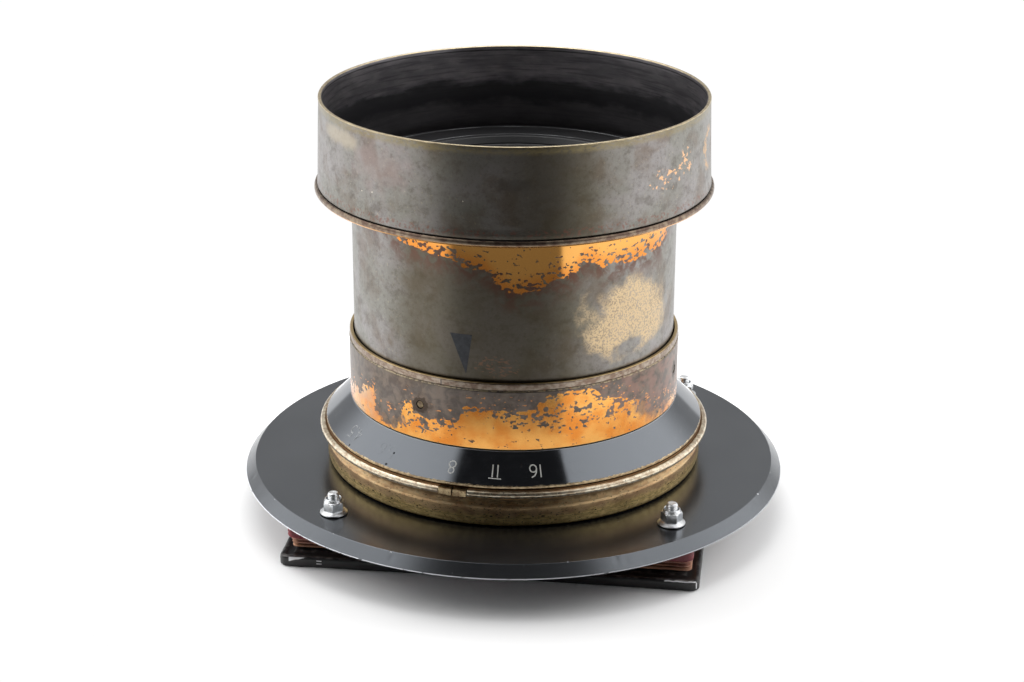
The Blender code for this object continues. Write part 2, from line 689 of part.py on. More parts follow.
def bulge(reach, radius, curvature):
    """How far a lens face stands out at this distance from the axis, counted from its edge."""
    edge_depth = abs(curvature) - math.sqrt(curvature ** 2 - radius ** 2)
    depth = abs(curvature) - math.sqrt(curvature ** 2 - reach ** 2)
    return math.copysign(edge_depth - depth, curvature)


def lens_profile(radius, seat, edge, front, back, steps=3):
    reaches = [radius * step / steps for step in range(steps + 1)]
    below = [(reach, seat - bulge(reach, radius, back)) for reach in reaches]
    above = [(reach, seat + edge + bulge(reach, radius, front)) for reach in reversed(reaches)]
    return below + above


def make_lens(name, shape, finish):
    return lathe(name, lens_profile(**shape), finish)


def make_barrel(finish):
    """Tube that screws over the main tube. A groove near its foot holds the guide ring."""
    groove_low, groove_high = GUIDE_GROOVE
    groove = GUIDE_RING_OUTER + 0.5
    profile = [(BARREL_BORE, BARREL_BOTTOM), (BARREL_RADIUS, BARREL_BOTTOM),
               (BARREL_RADIUS, BARREL_FLARE_START), (BARREL_RADIUS + BARREL_FLARE, BARREL_TOP),
               (BARREL_BORE, BARREL_TOP),
               (BARREL_BORE, groove_high), (groove, groove_high), (groove, groove_low),
               (BARREL_BORE, groove_low)]
    return lathe("barrel", profile, finish)


def make_hood_base(finish):
    """Floor of the hood: a ring that screws on the barrel, with the bead round its edge."""
    floor_top = HOOD_BOTTOM + HOOD_BASE_FLOOR
    top = HOOD_BOTTOM + HOOD_BASE_HEIGHT
    bore = BARREL_RADIUS + BARREL_FLARE + GAP
    seat = HOOD_RIM_RADIUS - HOOD_WALL - 0.8
    profile = [(bore, HOOD_BOTTOM), (HOOD_BEAD_RADIUS - 0.8, HOOD_BOTTOM),
               (HOOD_BEAD_RADIUS, HOOD_BOTTOM + 0.9), (HOOD_BEAD_RADIUS, top - 0.8),
               (HOOD_BEAD_RADIUS - 0.6, top), (seat, top), (seat, floor_top), (bore, floor_top)]
    return lathe("hood_base_ring", profile, finish)


def make_hood(finish):
    """Drum that stands on the base ring: a little wider at its foot, with a plain rim."""
    foot = HOOD_BOTTOM + HOOD_BASE_HEIGHT + GAP
    bore = HOOD_RIM_RADIUS - HOOD_WALL
    profile = [(bore, foot), (HOOD_LOW_RADIUS, foot), (HOOD_RIM_RADIUS, HOOD_TOP - 2.0),
               (HOOD_RIM_RADIUS, HOOD_TOP), (bore, HOOD_TOP)]
    return lathe("hood", profile, finish)


def make_front_cell(finish):
    """Cell of the front lens: a broad blackened ring with a tube that hangs inside the barrel."""
    low, high = FRONT_CELL_HEIGHTS
    shoulder = BARREL_TOP + GAP
    seat = FRONT_LENS["seat"] - 0.4
    edge = seat + 4.3
    pocket = FRONT_LENS["radius"] + 0.6
    profile = [(FRONT_CELL_BORE, low), (FRONT_CELL_OUTER, low), (FRONT_CELL_OUTER, shoulder),
               (FRONT_CELL_RIM, shoulder), (FRONT_CELL_RIM, high - 0.6),
               (FRONT_CELL_RIM - 0.6, high), (60.0, high), (57.8, 147.6), (57.8, edge),
               (pocket, edge), (pocket, seat), (FRONT_CELL_BORE, seat)]
    return lathe("front_cell", profile, finish)


def make_front_retaining_ring(finish):
    profile = [(55.0, 143.6), (57.4, 143.6), (57.4, 147.4), (56.2, 147.4), (54.2, 145.4)]
    return lathe("front_retaining_ring", profile, finish)


def make_middle_cell(finish):
    """Funnel-shaped cell screwed into the front of the main tube."""
    low, high = MIDDLE_CELL_HEIGHTS
    outer = TUBE_BORE - GAP
    pocket = MIDDLE_LENS["radius"] + 0.4
    seat = MIDDLE_LENS["seat"] - 0.4
    profile = [(MIDDLE_CELL_BORE, low), (54.0, low), (outer, 108.0), (outer, high), (49.5, high),
               (pocket, high - 1.0), (pocket, seat), (MIDDLE_CELL_BORE, seat)]
    return lathe("middle_cell", profile, finish)


def make_middle_retaining_ring(finish):
    return lathe("middle_retaining_ring", tube_profile(45.5, 48.1, 111.9, 113.3), finish)


def make_rear_cell(finish):
    """Cell that screws into the back of the main tube up to its flange."""
    low, high = REAR_CELL_HEIGHTS
    outer = TUBE_BORE - GAP
    pocket = REAR_LENS["radius"] + 0.5
    shoulder = TUBE_BOTTOM - GAP
    seat = REAR_LENS["seat"] + REAR_LENS["edge"] + 0.4
    profile = [(pocket, low), (REAR_CELL_FLANGE, low), (REAR_CELL_FLANGE, shoulder),
               (outer, shoulder), (outer, high), (REAR_CELL_BORE, high), (REAR_CELL_BORE, seat),
               (pocket, seat)]
    return lathe("rear_cell", profile, finish)


def make_rear_retaining_ring(finish):
    return lathe("rear_retaining_ring", tube_profile(50.4, 52.2, 12.0, 16.2), finish)


def make_assembly(name, members):
    """Parents the pieces of one moving body to an empty on the optical axis."""
    axis = bpy.data.objects.new(name, None)
    bpy.context.scene.collection.objects.link(axis)
    for member in members:
        member.parent = axis
    return axis


def main():
    clear_scene()
    patina = material("patinated_brass", (0.12, 0.095, 0.06), 0.38, 1.0)
    brass = material("brass", (0.45, 0.32, 0.15), 0.35, 1.0)
    lacquer = material("lacquered_brass", (0.62, 0.34, 0.11), 0.25, 1.0)
    cone_black = material("scale_black", (0.012, 0.013, 0.013), 0.22, 0.0)
    paint = material("disc_paint", (0.022, 0.022, 0.022), 0.42, 0.0)
    inside_black = material("inside_black", (0.02, 0.02, 0.02), 0.55, 0.0)
    steel = material("iris_steel", (0.05, 0.05, 0.055), 0.45, 1.0)
    zinc = material("zinc_plate", (0.62, 0.63, 0.65), 0.28, 1.0)
    glass = material("optical_glass", (0.9, 0.95, 0.93), 0.02, 0.0, 1.0)
    leather = material("bellows_leather", (0.52, 0.33, 0.24), 0.8, 0.0)
    red_cloth = material("board_red_leather", (0.24, 0.03, 0.035), 0.7, 0.0)
    frame_black = material("frame_black", (0.02, 0.02, 0.02), 0.4, 0.0)

    make_assembly("rear_frame_body", [make_rear_frame(frame_black), make_bellows(leather)])

    board = [make_front_board(red_cloth), make_lens_disc(paint), make_clamp_ring(brass),
             make_mounting_flange(brass), make_index_ring(brass),
             make_index_block("index_block_left", -1, brass),
             make_index_block("index_block_right", 1, brass),
             make_main_tube(inside_black), make_collar(lacquer),
             make_iris_base_plate(steel), make_iris_cover_ring(inside_black),
             make_middle_cell(inside_black), make_lens("middle_lens", MIDDLE_LENS, glass),
             make_middle_retaining_ring(inside_black),
             make_rear_cell(inside_black), make_lens("rear_lens", REAR_LENS, glass),
             make_rear_retaining_ring(inside_black)]
    for number, place in enumerate(bolt_places(), 1):
        board.append(make_bolt(number, place, zinc))
        board.append(make_nut(number, place, zinc))
    for number, angle in enumerate(SET_SCREW_ANGLES, 1):
        board.append(make_set_screw(number, angle, brass))
    make_assembly("lens_board_body", board)

    make_assembly("aperture_ring_body", [make_aperture_ring(cone_black), make_drive_screw(steel),
                                         make_iris_slot_ring(steel)])
    make_assembly("guide_ring_body", [make_guide_ring(brass)])
    make_blades(steel)
    make_assembly("front_barrel_body", [make_barrel(patina), make_hood_base(patina),
                                        make_hood(patina),
                                        make_front_cell(inside_black),
                                        make_lens("front_lens", FRONT_LENS, glass),
                                        make_front_retaining_ring(inside_black)])


main()
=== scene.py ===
"""Looks of the brass portrait lens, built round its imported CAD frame.

Lengths are millimetres until a mesh is made. Angles round the lens are in degrees: 0 faces the
camera (-Y) and they grow towards +X. Each turned piece is a closed profile of
(radius, height, corner rounding), and every piece keeps the place and size of its CAD node.
"""

import math
import random

import bmesh
import bpy
from mathutils import Matrix, Vector, noise


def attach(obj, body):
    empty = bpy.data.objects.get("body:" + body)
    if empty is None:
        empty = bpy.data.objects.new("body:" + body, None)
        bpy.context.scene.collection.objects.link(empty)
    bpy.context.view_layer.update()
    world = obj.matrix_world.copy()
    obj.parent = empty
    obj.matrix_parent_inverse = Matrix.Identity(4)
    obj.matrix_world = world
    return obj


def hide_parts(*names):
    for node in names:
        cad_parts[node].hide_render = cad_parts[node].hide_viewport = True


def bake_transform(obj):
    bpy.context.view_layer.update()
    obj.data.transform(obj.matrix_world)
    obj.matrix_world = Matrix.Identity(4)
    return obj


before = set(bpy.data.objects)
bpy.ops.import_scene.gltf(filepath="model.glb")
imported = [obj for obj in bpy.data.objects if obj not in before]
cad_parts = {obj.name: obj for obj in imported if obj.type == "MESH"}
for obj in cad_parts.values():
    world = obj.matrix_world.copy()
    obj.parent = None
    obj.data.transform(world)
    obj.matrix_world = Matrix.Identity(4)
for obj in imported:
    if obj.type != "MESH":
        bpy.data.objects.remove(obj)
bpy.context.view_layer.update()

MM = 0.001
TURN = 2 * math.pi
ROUND_STEPS = 192
SMALL_STEPS = 48
random.seed(7)

# Bodies of the CAD frame
REAR = "rear_frame_body"
BOARD = "lens_board_body"
SCALE = "aperture_ring_body"
FRONT = "front_barrel_body"

# Sizes that several pieces share
DISC_TOP = 21.6
BOLT_RING = 102.3
BOLT_ANGLES = (-137.9, -49.6, 37.5, 130.0)
BARREL_RADIUS = 70.3
COLLAR_RADIUS = 72.6
SCREW_ANGLES = (-122.7, -16.0, 110.6)
SCREW_HEIGHT = 68.3
INDEX_ANGLE = -107.2
CONE_LOW = (83.6, 41.0)
CONE_TOP = (72.3, 52.2)
REAR_TURN = math.radians(-7.35)
# Rectangles with round corners: width, depth and corner radius
FRAME_OUTLINE = (178.0, 174.4, 3.5)
BELLOWS_OUTLINE = (171.4, 160.0, 3.0)
BOARD_OUTLINE = (171.0, 168.0, 3.0)
# Pits in the paint of the scale ring: angle, place along its slope and size
PAINT_PITS = ((-58.5, -6.8, 0.5), (-39.8, -1.3, 0.5), (-40.5, -6.8, 0.6))
BLADES = 12
PIVOT_RADIUS = 55.0
BLADE_REST = math.radians(20.15)


def rgb(red, green, blue):
    """A display colour of 0 to 255 a channel as the linear colour that shaders take."""
    linear = []
    for value in (red, green, blue):
        share = value / 255
        linear.append(share / 12.92 if share <= 0.04045 else ((share + 0.055) / 1.055) ** 2.4)
    return tuple(linear)


class Value:
    """One output of a node, which adds, subtracts and multiplies like a number."""

    def __init__(self, nodes, socket):
        self.nodes = nodes
        self.socket = socket

    def __add__(self, other):
        return self.nodes.math("ADD", self, other)

    def __sub__(self, other):
        return self.nodes.math("SUBTRACT", self, other)

    def __rsub__(self, other):
        return self.nodes.math("SUBTRACT", other, self)

    def __mul__(self, other):
        return self.nodes.math("MULTIPLY", self, other)

    __radd__ = __add__
    __rmul__ = __mul__


class Nodes:
    """A node tree being built: each method adds nodes and gives back a value."""

    def __init__(self, tree):
        self.tree = tree

    def make(self, kind, inputs, **settings):
        """Adds a node, with its inputs by name or number."""
        node = self.tree.nodes.new(kind)
        for key, value in settings.items():
            setattr(node, key, value)
        for key, value in inputs.items():
            self.feed(node.inputs[key], value)
        return node

    def add(self, kind, inputs, output=0, **settings):
        return Value(self, self.make(kind, inputs, **settings).outputs[output])

    def feed(self, socket, value):
        if isinstance(value, Value):
            self.tree.links.new(value.socket, socket)
        elif socket.type == "RGBA":
            socket.default_value = (*value, 1.0)
        else:
            socket.default_value = value

    def axes(self, vector):
        outputs = self.make("ShaderNodeSeparateXYZ", {0: vector}).outputs
        return [Value(self, output) for output in outputs]

    def math(self, operation, first, second=0.0):
        return self.add("ShaderNodeMath", {0: first, 1: second}, operation=operation)

    def largest(self, first, *others):
        for other in others:
            first = self.math("MAXIMUM", first, other)
        return first

    def step(self, value, low, high):
        """0 below low and 1 above high, or the other way round if low is above high."""
        inputs = {0: value, 1: low, 2: high, 3: 0.0, 4: 1.0}
        return self.add("ShaderNodeMapRange", inputs, interpolation_type="SMOOTHSTEP")

    def inside(self, value, low, high, soft):
        return self.step(value, low - soft, low + soft) * self.step(value, high + soft, high - soft)

    def mix(self, factor, first, second):
        return self.add("ShaderNodeMix", {0: factor, 6: first, 7: second}, 2, data_type="RGBA")

    def blend(self, factor, first, second):
        return self.add("ShaderNodeMix", {0: factor, 2: first, 3: second}, data_type="FLOAT")


class Finish(Nodes):
    """A material, with the place on the lens as millimetres, radius, height and angle."""

    def __init__(self, name):
        self.material = bpy.data.materials.new(name)
        self.material.use_nodes = True
        super().__init__(self.material.node_tree)
        self.shader = self.tree.nodes["Principled BSDF"]
        where = self.add("ShaderNodeTexCoord", {}, "Object")
        self.place = self.add("ShaderNodeVectorMath", {0: where, "Scale": 1 / MM}, operation="SCALE")
        self.x, self.y, self.height = self.axes(self.place)
        self.radius = self.math("SQRT", self.x * self.x + self.y * self.y)
        self.angle = self.math("DEGREES", self.math("ARCTAN2", self.x, self.y * -1.0))

    def moved(self, shift, scale=(1, 1, 1)):
        return self.add("ShaderNodeMapping", {"Vector": self.place, "Scale": scale, "Location": shift})

    def grain(self, size, detail=3.0, stretch=(1, 1, 1), shift=0.0, roughness=0.55, distortion=0.0):
        """Cloudy noise from 0 to 1 with lumps of about this size; stretch squeezes an axis."""
        inputs = {"Vector": self.moved((shift, shift * 1.7, shift * 0.6), stretch), "Scale": 1 / size,
                  "Detail": detail, "Roughness": roughness, "Distortion": distortion}
        return self.add("ShaderNodeTexNoise", inputs)

    def spread(self, size, amount, **more):
        """Noise around 0, reaching about plus or minus amount."""
        return (self.grain(size, **more) - 0.5) * (amount * 4)

    def profile(self, stops, low, high):
        """A value that changes with the angle round the lens, as (angle, value) stops."""
        ramp = self.make("ShaderNodeValToRGB", {0: self.angle * (1 / 360) + 0.5})
        elements = ramp.color_ramp.elements
        elements.remove(elements[0])
        for number, (angle, value) in enumerate(sorted(stops)):
            position = angle / 360 + 0.5
            element = elements.new(position) if number else elements[0]
            element.position = position
            level = (value - low) / (high - low)
            element.color = (level, level, level, 1.0)
        return Value(self, ramp.outputs[0]) * (high - low) + low

    def patch(self, angle, height, wide, tall, ragged=0.25, size=4.0, soft=0.15):
        """A ragged oval spot at this angle and height, wide degrees by tall millimetres each way."""
        across = (self.angle - angle) * (1 / wide)
        along = (self.height - height) * (1 / tall)
        reach = self.math("SQRT", across * across + along * along) + self.spread(size, ragged)
        return self.step(reach, 1 + soft, 1 - soft)

    def near(self, point, reach, ragged=0.3, size=2.0):
        """A ragged round spot about a point."""
        inputs = {0: self.place, 1: point}
        away = self.add("ShaderNodeVectorMath", inputs, "Value", operation="DISTANCE")
        return self.step(away * (1 / reach) + self.spread(size, ragged), 1.1, 0.9)

    def set(self, **values):
        """Sets shader sockets: Base_Color stands for Base Color."""
        for name, value in values.items():
            self.feed(self.shader.inputs[name.replace("_", " ")], value)

    def relief(self, height, depth):
        """Bump of this depth in millimetres from a height of 0 to 1."""
        self.set(Normal=self.add("ShaderNodeBump", {"Height": height, "Distance": depth * MM}))


# Colours of the metals: bare gold under lacquer, worn brass, copper flakes, dark patina, and a painted
# shade
GOLD = (0.70, 0.345, 0.09)
PALE_BRASS = (0.56, 0.47, 0.30)
AMBER = (0.62, 0.215, 0.038)
COPPER = (0.62, 0.28, 0.11)
PATINA_OLIVE = (0.225, 0.219, 0.196)
PATINA_PURPLE = (0.272, 0.256, 0.250)
PATINA_GREY = (0.375, 0.370, 0.350)
PATINA_DARK = (0.085, 0.070, 0.058)
PATINA_BROWN = (0.150, 0.112, 0.085)
# Painted shade for the sides of the barrel and hood that face the camera
PAINTED_FRONT_SHADE = (0.075, 0.062, 0.038)
RUST_HAZE = (0.115, 0.058, 0.043)
COOL = (0.86, 0.92, 1.0)


def patina(f, shift=0.0):
    """Old brass gone dark: colour, roughness and relief height."""
    clouds = f.grain(24, 5, shift=shift, distortion=0.5)
    warm = f.grain(15, 4, shift=shift + 20, distortion=0.3)
    smudges = f.grain(8, 6, (1, 1, 1.5), shift + 120, roughness=0.62)
    mottle = f.grain(2.0, 6, shift=shift + 40, roughness=0.68)
    fine = f.grain(0.9, 4, shift=shift + 80)
    colour = f.mix(f.step(clouds, 0.36, 0.64), PATINA_OLIVE, PATINA_PURPLE)
    colour = f.mix(f.step(warm, 0.48, 0.68) * 0.65, colour, PATINA_BROWN)
    colour = f.mix(f.step(smudges, 0.50, 0.68) * 0.42, colour, PATINA_DARK)
    colour = f.mix(f.step(mottle, 0.49, 0.68) * 0.35, colour, PATINA_DARK)
    colour = f.mix(f.step(mottle, 0.43, 0.28) * 0.25, colour, PATINA_GREY)
    colour = f.mix(f.step(fine, 0.60, 0.74) * 0.30, colour, PALE_BRASS)
    colour = f.mix(f.step(fine, 0.42, 0.30) * 0.30, colour, PATINA_DARK)
    roughness = smudges * 0.14 + mottle * 0.14 + 0.23
    return colour, roughness, fine * 0.5 + mottle * 0.5


def round_dots(f, spacing, reach, shift):
    """Round dots of uneven size: reach is the widest radius as a share of their spacing."""
    inputs = {"Vector": f.moved((shift, shift, shift)), "Scale": 1 / spacing}
    chance = f.add("ShaderNodeTexVoronoi", inputs, "Color")
    distance = f.add("ShaderNodeTexVoronoi", inputs, "Distance")
    uneven = f.blend(f.math("POWER", chance, 2.0), 0.15, 1.0)
    away = distance + f.spread(spacing * 0.6, 0.08, shift=shift)
    edge = reach * uneven
    return f.step(away - edge, 0.03, -0.03)


def lacquer_specks(f, crowd, shift=0.0):
    """Dark specks in the lacquer. They grow more where crowd is near 1."""
    small = round_dots(f, 2.2, f.blend(crowd, 0.16, 0.52), shift)
    large = round_dots(f, 5.0, f.blend(crowd, 0.05, 0.46), shift + 11)
    torn = f.grain(3.0, 3, (1, 1, 1.6), shift + 23) + crowd * 0.15
    return f.largest(small, large, f.step(torn, 0.655, 0.68))


def layer(f, mask, below, above):
    """Puts one (colour, roughness, relief) finish over another where mask is 1."""
    return (f.mix(mask, below[0], above[0]), f.blend(mask, below[1], above[1]),
            f.blend(mask, below[2], above[2]))


def stain(f, base, mask, colour, roughness):
    """Colours a finish where mask is 1 and keeps its relief."""
    return layer(f, mask, base, (colour, roughness, base[2]))


def metal(f, finish, depth=0.02):
    f.set(Base_Color=finish[0], Roughness=finish[1], Metallic=1.0)
    f.relief(finish[2], depth)
    return f.material


def turning_lines(f, pitch=0.35):
    """Fine lines that a lathe tool leaves round a piece."""
    return f.grain(pitch, 2, (0.02, 0.02, 1.0), 3.0)


def barrel_material():
    """Dark patina with painted shade on the side that faces the camera, gold lacquer left below the hood
    and a worn bright patch on one side.
    """
    f = Finish("barrel_patina")
    base = patina(f)
    # Painted shade: the patina is darkened on the side that faces the camera
    middle = f.profile([(-180, 0), (-52, 0), (-36, 0.75), (18, 0.75), (36, 0.2), (48, 0), (180, 0)], 0, 1)
    base = stain(f, base, middle, PAINTED_FRONT_SHADE, base[1])
    edge = f.profile([(-180, 137), (-150, 130), (-120, 134), (-90, 143), (-66, 146), (-50, 142),
                      (-43, 138), (-35, 137), (-29, 135.5), (-21, 134.5), (-18, 132), (-10, 131),
                      (-6, 125), (-1, 120.5), (4, 121.5), (8.6, 123), (15.5, 127), (20, 126.5),
                      (22, 130), (24, 133), (27.7, 132.5), (31, 129), (37.6, 128.5), (47.4, 129),
                      (54, 129.5), (60, 129), (65, 133), (72, 142), (90, 138), (120, 131),
                      (150, 135), (180, 137)], 110, 150)
    above = f.height - edge
    ragged = above + f.spread(3.2, 1.4, detail=4.0, stretch=(1, 1, 1.5))
    crowd = f.step(above, 13.0, -1.0)
    gold_mask = f.step(ragged, -0.15, 0.2) * (1.0 - lacquer_specks(f, crowd))
    haze_cover = f.step(f.grain(4, 5, shift=5, distortion=0.4), 0.36, 0.62)
    haze = f.step(above, -13.0, 0.0) * haze_cover * 0.85
    base = stain(f, base, haze, RUST_HAZE, 0.34)
    worn = f.patch(45, 104.0, 20.5, 15, 0.34, 11, 0.24)
    hole = 1.0 - f.patch(44, 91.5, 6, 3.5, 0.3, 3, 0.4)
    speckle = f.step(f.grain(0.8, 4, shift=9), 0.46, 0.60) * 0.65
    cover = worn * hole * (1.0 - speckle)
    base = layer(f, cover, base, ((0.58, 0.44, 0.27), 0.45, f.grain(0.8, 2)))
    streaks = f.step(f.grain(1.9, 3, (1, 1, 2.5), 21), 0.56, 0.60)
    flakes = f.patch(-6, 89, 8, 4, 0.5, 3) * streaks
    base = stain(f, base, flakes * 0.5, (0.30, 0.15, 0.09), 0.35)
    shine = f.grain(9, 3) * 0.06 + 0.07
    gold = f.mix(f.step(above, 9.0, 1.0) * 0.85, GOLD, AMBER)
    return metal(f, layer(f, gold_mask, base, (gold, shine, 0.5)), 0.02)


def inside_black_layer(f):
    """Blackened brass inside the hood, with turning marks, a rougher band half-way down and painted shade
    deeper down.
    """
    lines = f.grain(1.1, 4, (0.06, 0.06, 1.0), 3.0)
    clouds = f.grain(7, 5, (0.6, 0.6, 2.0), 31)
    drift = f.spread(6, 2.4, detail=4.0, stretch=(0.4, 0.4, 1.0))
    band = f.inside(f.height + drift, 161.0, 171.0, 2.6)
    colour = f.mix(f.step(clouds, 0.35, 0.7), (0.34, 0.325, 0.345), (0.52, 0.485, 0.51))
    colour = f.mix(f.step(lines, 0.48, 0.64) * 0.6, colour, (0.18, 0.17, 0.185))
    # Painted shade: darker deeper inside the hood
    colour = f.mix(f.step(f.height, 172.0, 163.0) * 0.8, colour, (0.12, 0.115, 0.12))
    colour = f.mix(band * 0.85, colour, (0.048, 0.048, 0.053))
    lip = f.inside(f.height, 184.6, 185.2, 0.2)
    colour = f.mix(lip * 0.7, colour, (0.03, 0.03, 0.03))
    return colour, f.blend(band, 0.40, 0.52), lines * 0.8 + clouds * 0.2


def hood_material():
    """Dark patina outside with painted shade on the side that faces the camera, black inside, a bright worn
    rim, pale and copper spots.
    """
    f = Finish("hood_patina")
    base = patina(f, 60.0)
    # Painted shade: the patina is darkened on the side that faces the camera
    middle = f.profile([(-180, 0), (-42, 0), (-25, 0.3), (-5, 0.35), (5, 0.75), (20, 0.75), (28, 0.3),
                        (38, 0), (180, 0)], 0, 1)
    base = stain(f, base, middle, PAINTED_FRONT_SHADE, base[1])
    base = stain(f, base, f.patch(-59, 179.5, 9, 3.4, 0.35, 6, 0.5) * 0.6, (0.46, 0.40, 0.31), 0.40)
    base = stain(f, base, f.patch(-40, 172, 10, 9, 0.5, 5, 0.5) * 0.4, (0.31, 0.245, 0.235), 0.34)
    base = stain(f, base, f.patch(-0.6, 171, 5, 2.5, 0.5, 3, 0.5) * 0.3, (0.05, 0.045, 0.042), 0.35)
    flakes = f.step(f.grain(2.2, 3, (1, 1, 1.2), 17), 0.565, 0.585)
    spots = f.largest(f.patch(48, 166.5, 6, 4.2, 0.5, 3), f.patch(56, 170, 4, 5, 0.6, 3),
                      f.patch(41, 166, 1.0, 0.9, 0.2, 2), f.patch(121, 172, 9, 6, 0.6, 4),
                      f.patch(-131, 163, 12, 5, 0.6, 4))
    base = stain(f, base, spots * flakes, (0.70, 0.42, 0.24), 0.34)
    arc_outside = f.patch(75, 169, 5.5, 9, 0.2, 3, 0.1)
    arc_inside = 1.0 - f.patch(76.5, 168, 4.2, 7.4, 0.25, 3, 0.1)
    gold_arc = arc_outside * arc_inside * f.step(f.grain(1.5, 4, shift=52), 0.42, 0.50)
    base = stain(f, base, gold_arc, (0.50, 0.31, 0.15), 0.34)
    for angle, height, size in ((-36.2, 170.2, 0.42), (-47.2, 160.6, 0.30), (-43.0, 161.4, 0.30),
                                (9.6, 158.2, 0.28), (28.0, 176.0, 0.25), (-14.0, 164.0, 0.22)):
        speck = f.near(wall_point(84.0, angle, height), size, 0.15, 1.0)
        base = stain(f, base, speck, (0.80, 0.74, 0.60), 0.4)
    reddish = f.inside(f.height, 149.6, 152.6, 0.8) * f.step(f.grain(1.3, 4, shift=70), 0.5, 0.62)
    base = stain(f, base, reddish * 0.6, (0.20, 0.09, 0.065), 0.4)
    under_rim = f.step(f.height, 182.6, 184.6) * f.step(f.grain(2, 4, (1, 1, 3)), 0.30, 0.55)
    base = stain(f, base, under_rim * 0.5, (0.25, 0.20, 0.09), 0.32)
    base = layer(f, f.step(f.radius, 82.75, 82.45), base, inside_black_layer(f))
    rim = f.step(f.height + f.spread(2.5, 0.12), 186.25, 186.45)
    rim_tone = f.mix(f.step(f.grain(3, 4, shift=14), 0.35, 0.70), PALE_BRASS, (0.40, 0.32, 0.21))
    return metal(f, layer(f, rim, base, (rim_tone, 0.32, 0.5)), 0.02)


def hood_base_material():
    """Tan and pinkish bead round the hood's foot; its floor is black."""
    f = Finish("hood_bead")
    base = patina(f, 25.0)
    tan = (f.mix(f.step(f.grain(3, 4), 0.35, 0.65), (0.30, 0.235, 0.17), (0.15, 0.10, 0.078)),
           0.34, f.grain(1.0, 3))
    base = layer(f, f.step(f.radius, 84.6, 85.1), base, tan)
    line = f.step(f.height, 146.7, 146.4) * f.step(f.radius, 84.9, 85.3)
    base = stain(f, base, line * 0.8, GOLD, 0.3)
    return metal(f, layer(f, f.step(f.radius, 82.9, 82.6), base, inside_black_layer(f)), 0.02)


def collar_material():
    """Gold lacquer below a ragged edge, dark brown patina above it and a tan band at the top."""
    f = Finish("collar_lacquer")
    base = patina(f, 90.0)
    blotches = f.grain(4.5, 4, shift=61, distortion=0.5)
    brown = f.mix(f.step(blotches, 0.38, 0.62), (0.165, 0.125, 0.098), (0.085, 0.066, 0.054))
    base = stain(f, base, 0.75, brown, 0.38)
    edge = f.profile([(-180, 64), (-150, 69), (-120, 60), (-90, 60), (-66, 62), (-63, 66), (-55, 69),
                      (-54, 60.5), (-48, 58.6), (-42.6, 58.2), (-41, 62), (-39.3, 68.4),
                      (-36.5, 69.4), (-35.4, 63.9), (-30.7, 63.2), (-22, 63.7), (-17.6, 64.7),
                      (-17, 70.9), (-12.6, 71.6), (-8, 70.5), (3.4, 70.2), (6.9, 71.2), (10, 76.5),
                      (20.5, 78), (28, 77), (30.5, 72.8), (43, 68.2), (51, 64), (56, 59), (90, 56),
                      (130, 66), (180, 64)], 50, 80)
    above = f.height - edge
    ragged = above + f.spread(2.4, 0.9, detail=4.0, stretch=(1, 1, 1.3), shift=13)
    worn_rows = f.patch(21, 67, 26, 6.5, 0.3, 4, 0.4) * 0.7
    spoiled = f.patch(-38, 60, 13, 5, 0.4, 4, 0.4) * 0.85
    crowd = f.largest(f.step(above, -8.0, 0.5), worn_rows, spoiled)
    specks = lacquer_specks(f, crowd, 50.0)
    dark_corner = f.patch(-47, 60, 7, 6, 0.4, 3) * 0.9
    dark_right = f.patch(62, 63, 16, 9, 0.4, 5, 0.4) * 0.8
    mark_mask = f.largest(specks, dark_corner, dark_right)
    gold_mask = f.step(ragged, 0.15, -0.2) * (1.0 - mark_mask)
    pink = f.step(f.angle, 18.0, 42.0) * f.step(f.grain(5, 4, (1, 1, 1.6), 6), 0.40, 0.60)
    base = stain(f, base, pink * 0.6, (0.27, 0.165, 0.135), 0.38)
    islands = f.inside(above, 0.3, 6.0, 1.2) * f.step(f.grain(2.4, 3, (1, 1, 1.8), 44), 0.62, 0.65)
    base = stain(f, base, islands, COPPER, 0.3)
    ring = f.largest(*[f.near(wall_point(COLLAR_RADIUS, degrees, SCREW_HEIGHT), 3.8, 0.25)
                       for degrees in (angle + 90 for angle in SCREW_ANGLES)])
    base = stain(f, base, ring * 0.8, (0.06, 0.045, 0.035), 0.45)
    clouds = f.grain(12, 3, shift=77)
    gold = (f.mix(f.step(clouds, 0.35, 0.65), GOLD, AMBER), clouds * 0.1 + 0.12, 0.5)
    hazy = f.step(f.angle, -50.0, -62.0) * f.step(f.grain(6, 4, shift=33), 0.35, 0.60) * 0.55
    gold = layer(f, hazy, gold, ((0.42, 0.34, 0.26), 0.35, 0.5))
    finish = layer(f, gold_mask, base, gold)
    band_tone = f.mix(f.step(f.grain(2.5, 5, (1, 1, 1.5), 8), 0.36, 0.62),
                      (0.36, 0.30, 0.24), (0.20, 0.14, 0.105))
    finish = layer(f, f.step(f.height, 78.9, 79.2), finish, (band_tone, 0.36, f.grain(0.9, 3)))
    dirty_line = f.inside(f.height, 78.55, 79.05, 0.15) * f.step(f.grain(1.2, 2), 0.35, 0.6) * 0.6
    finish = layer(f, dirty_line, finish, (PALE_BRASS, 0.35, 0.5))
    bright = f.largest(f.step(f.height, 82.0, 82.2), f.step(f.height, 52.95, 52.8))
    return metal(f, layer(f, bright, finish, ((0.55, 0.40, 0.19), 0.28, 0.5)), 0.015)


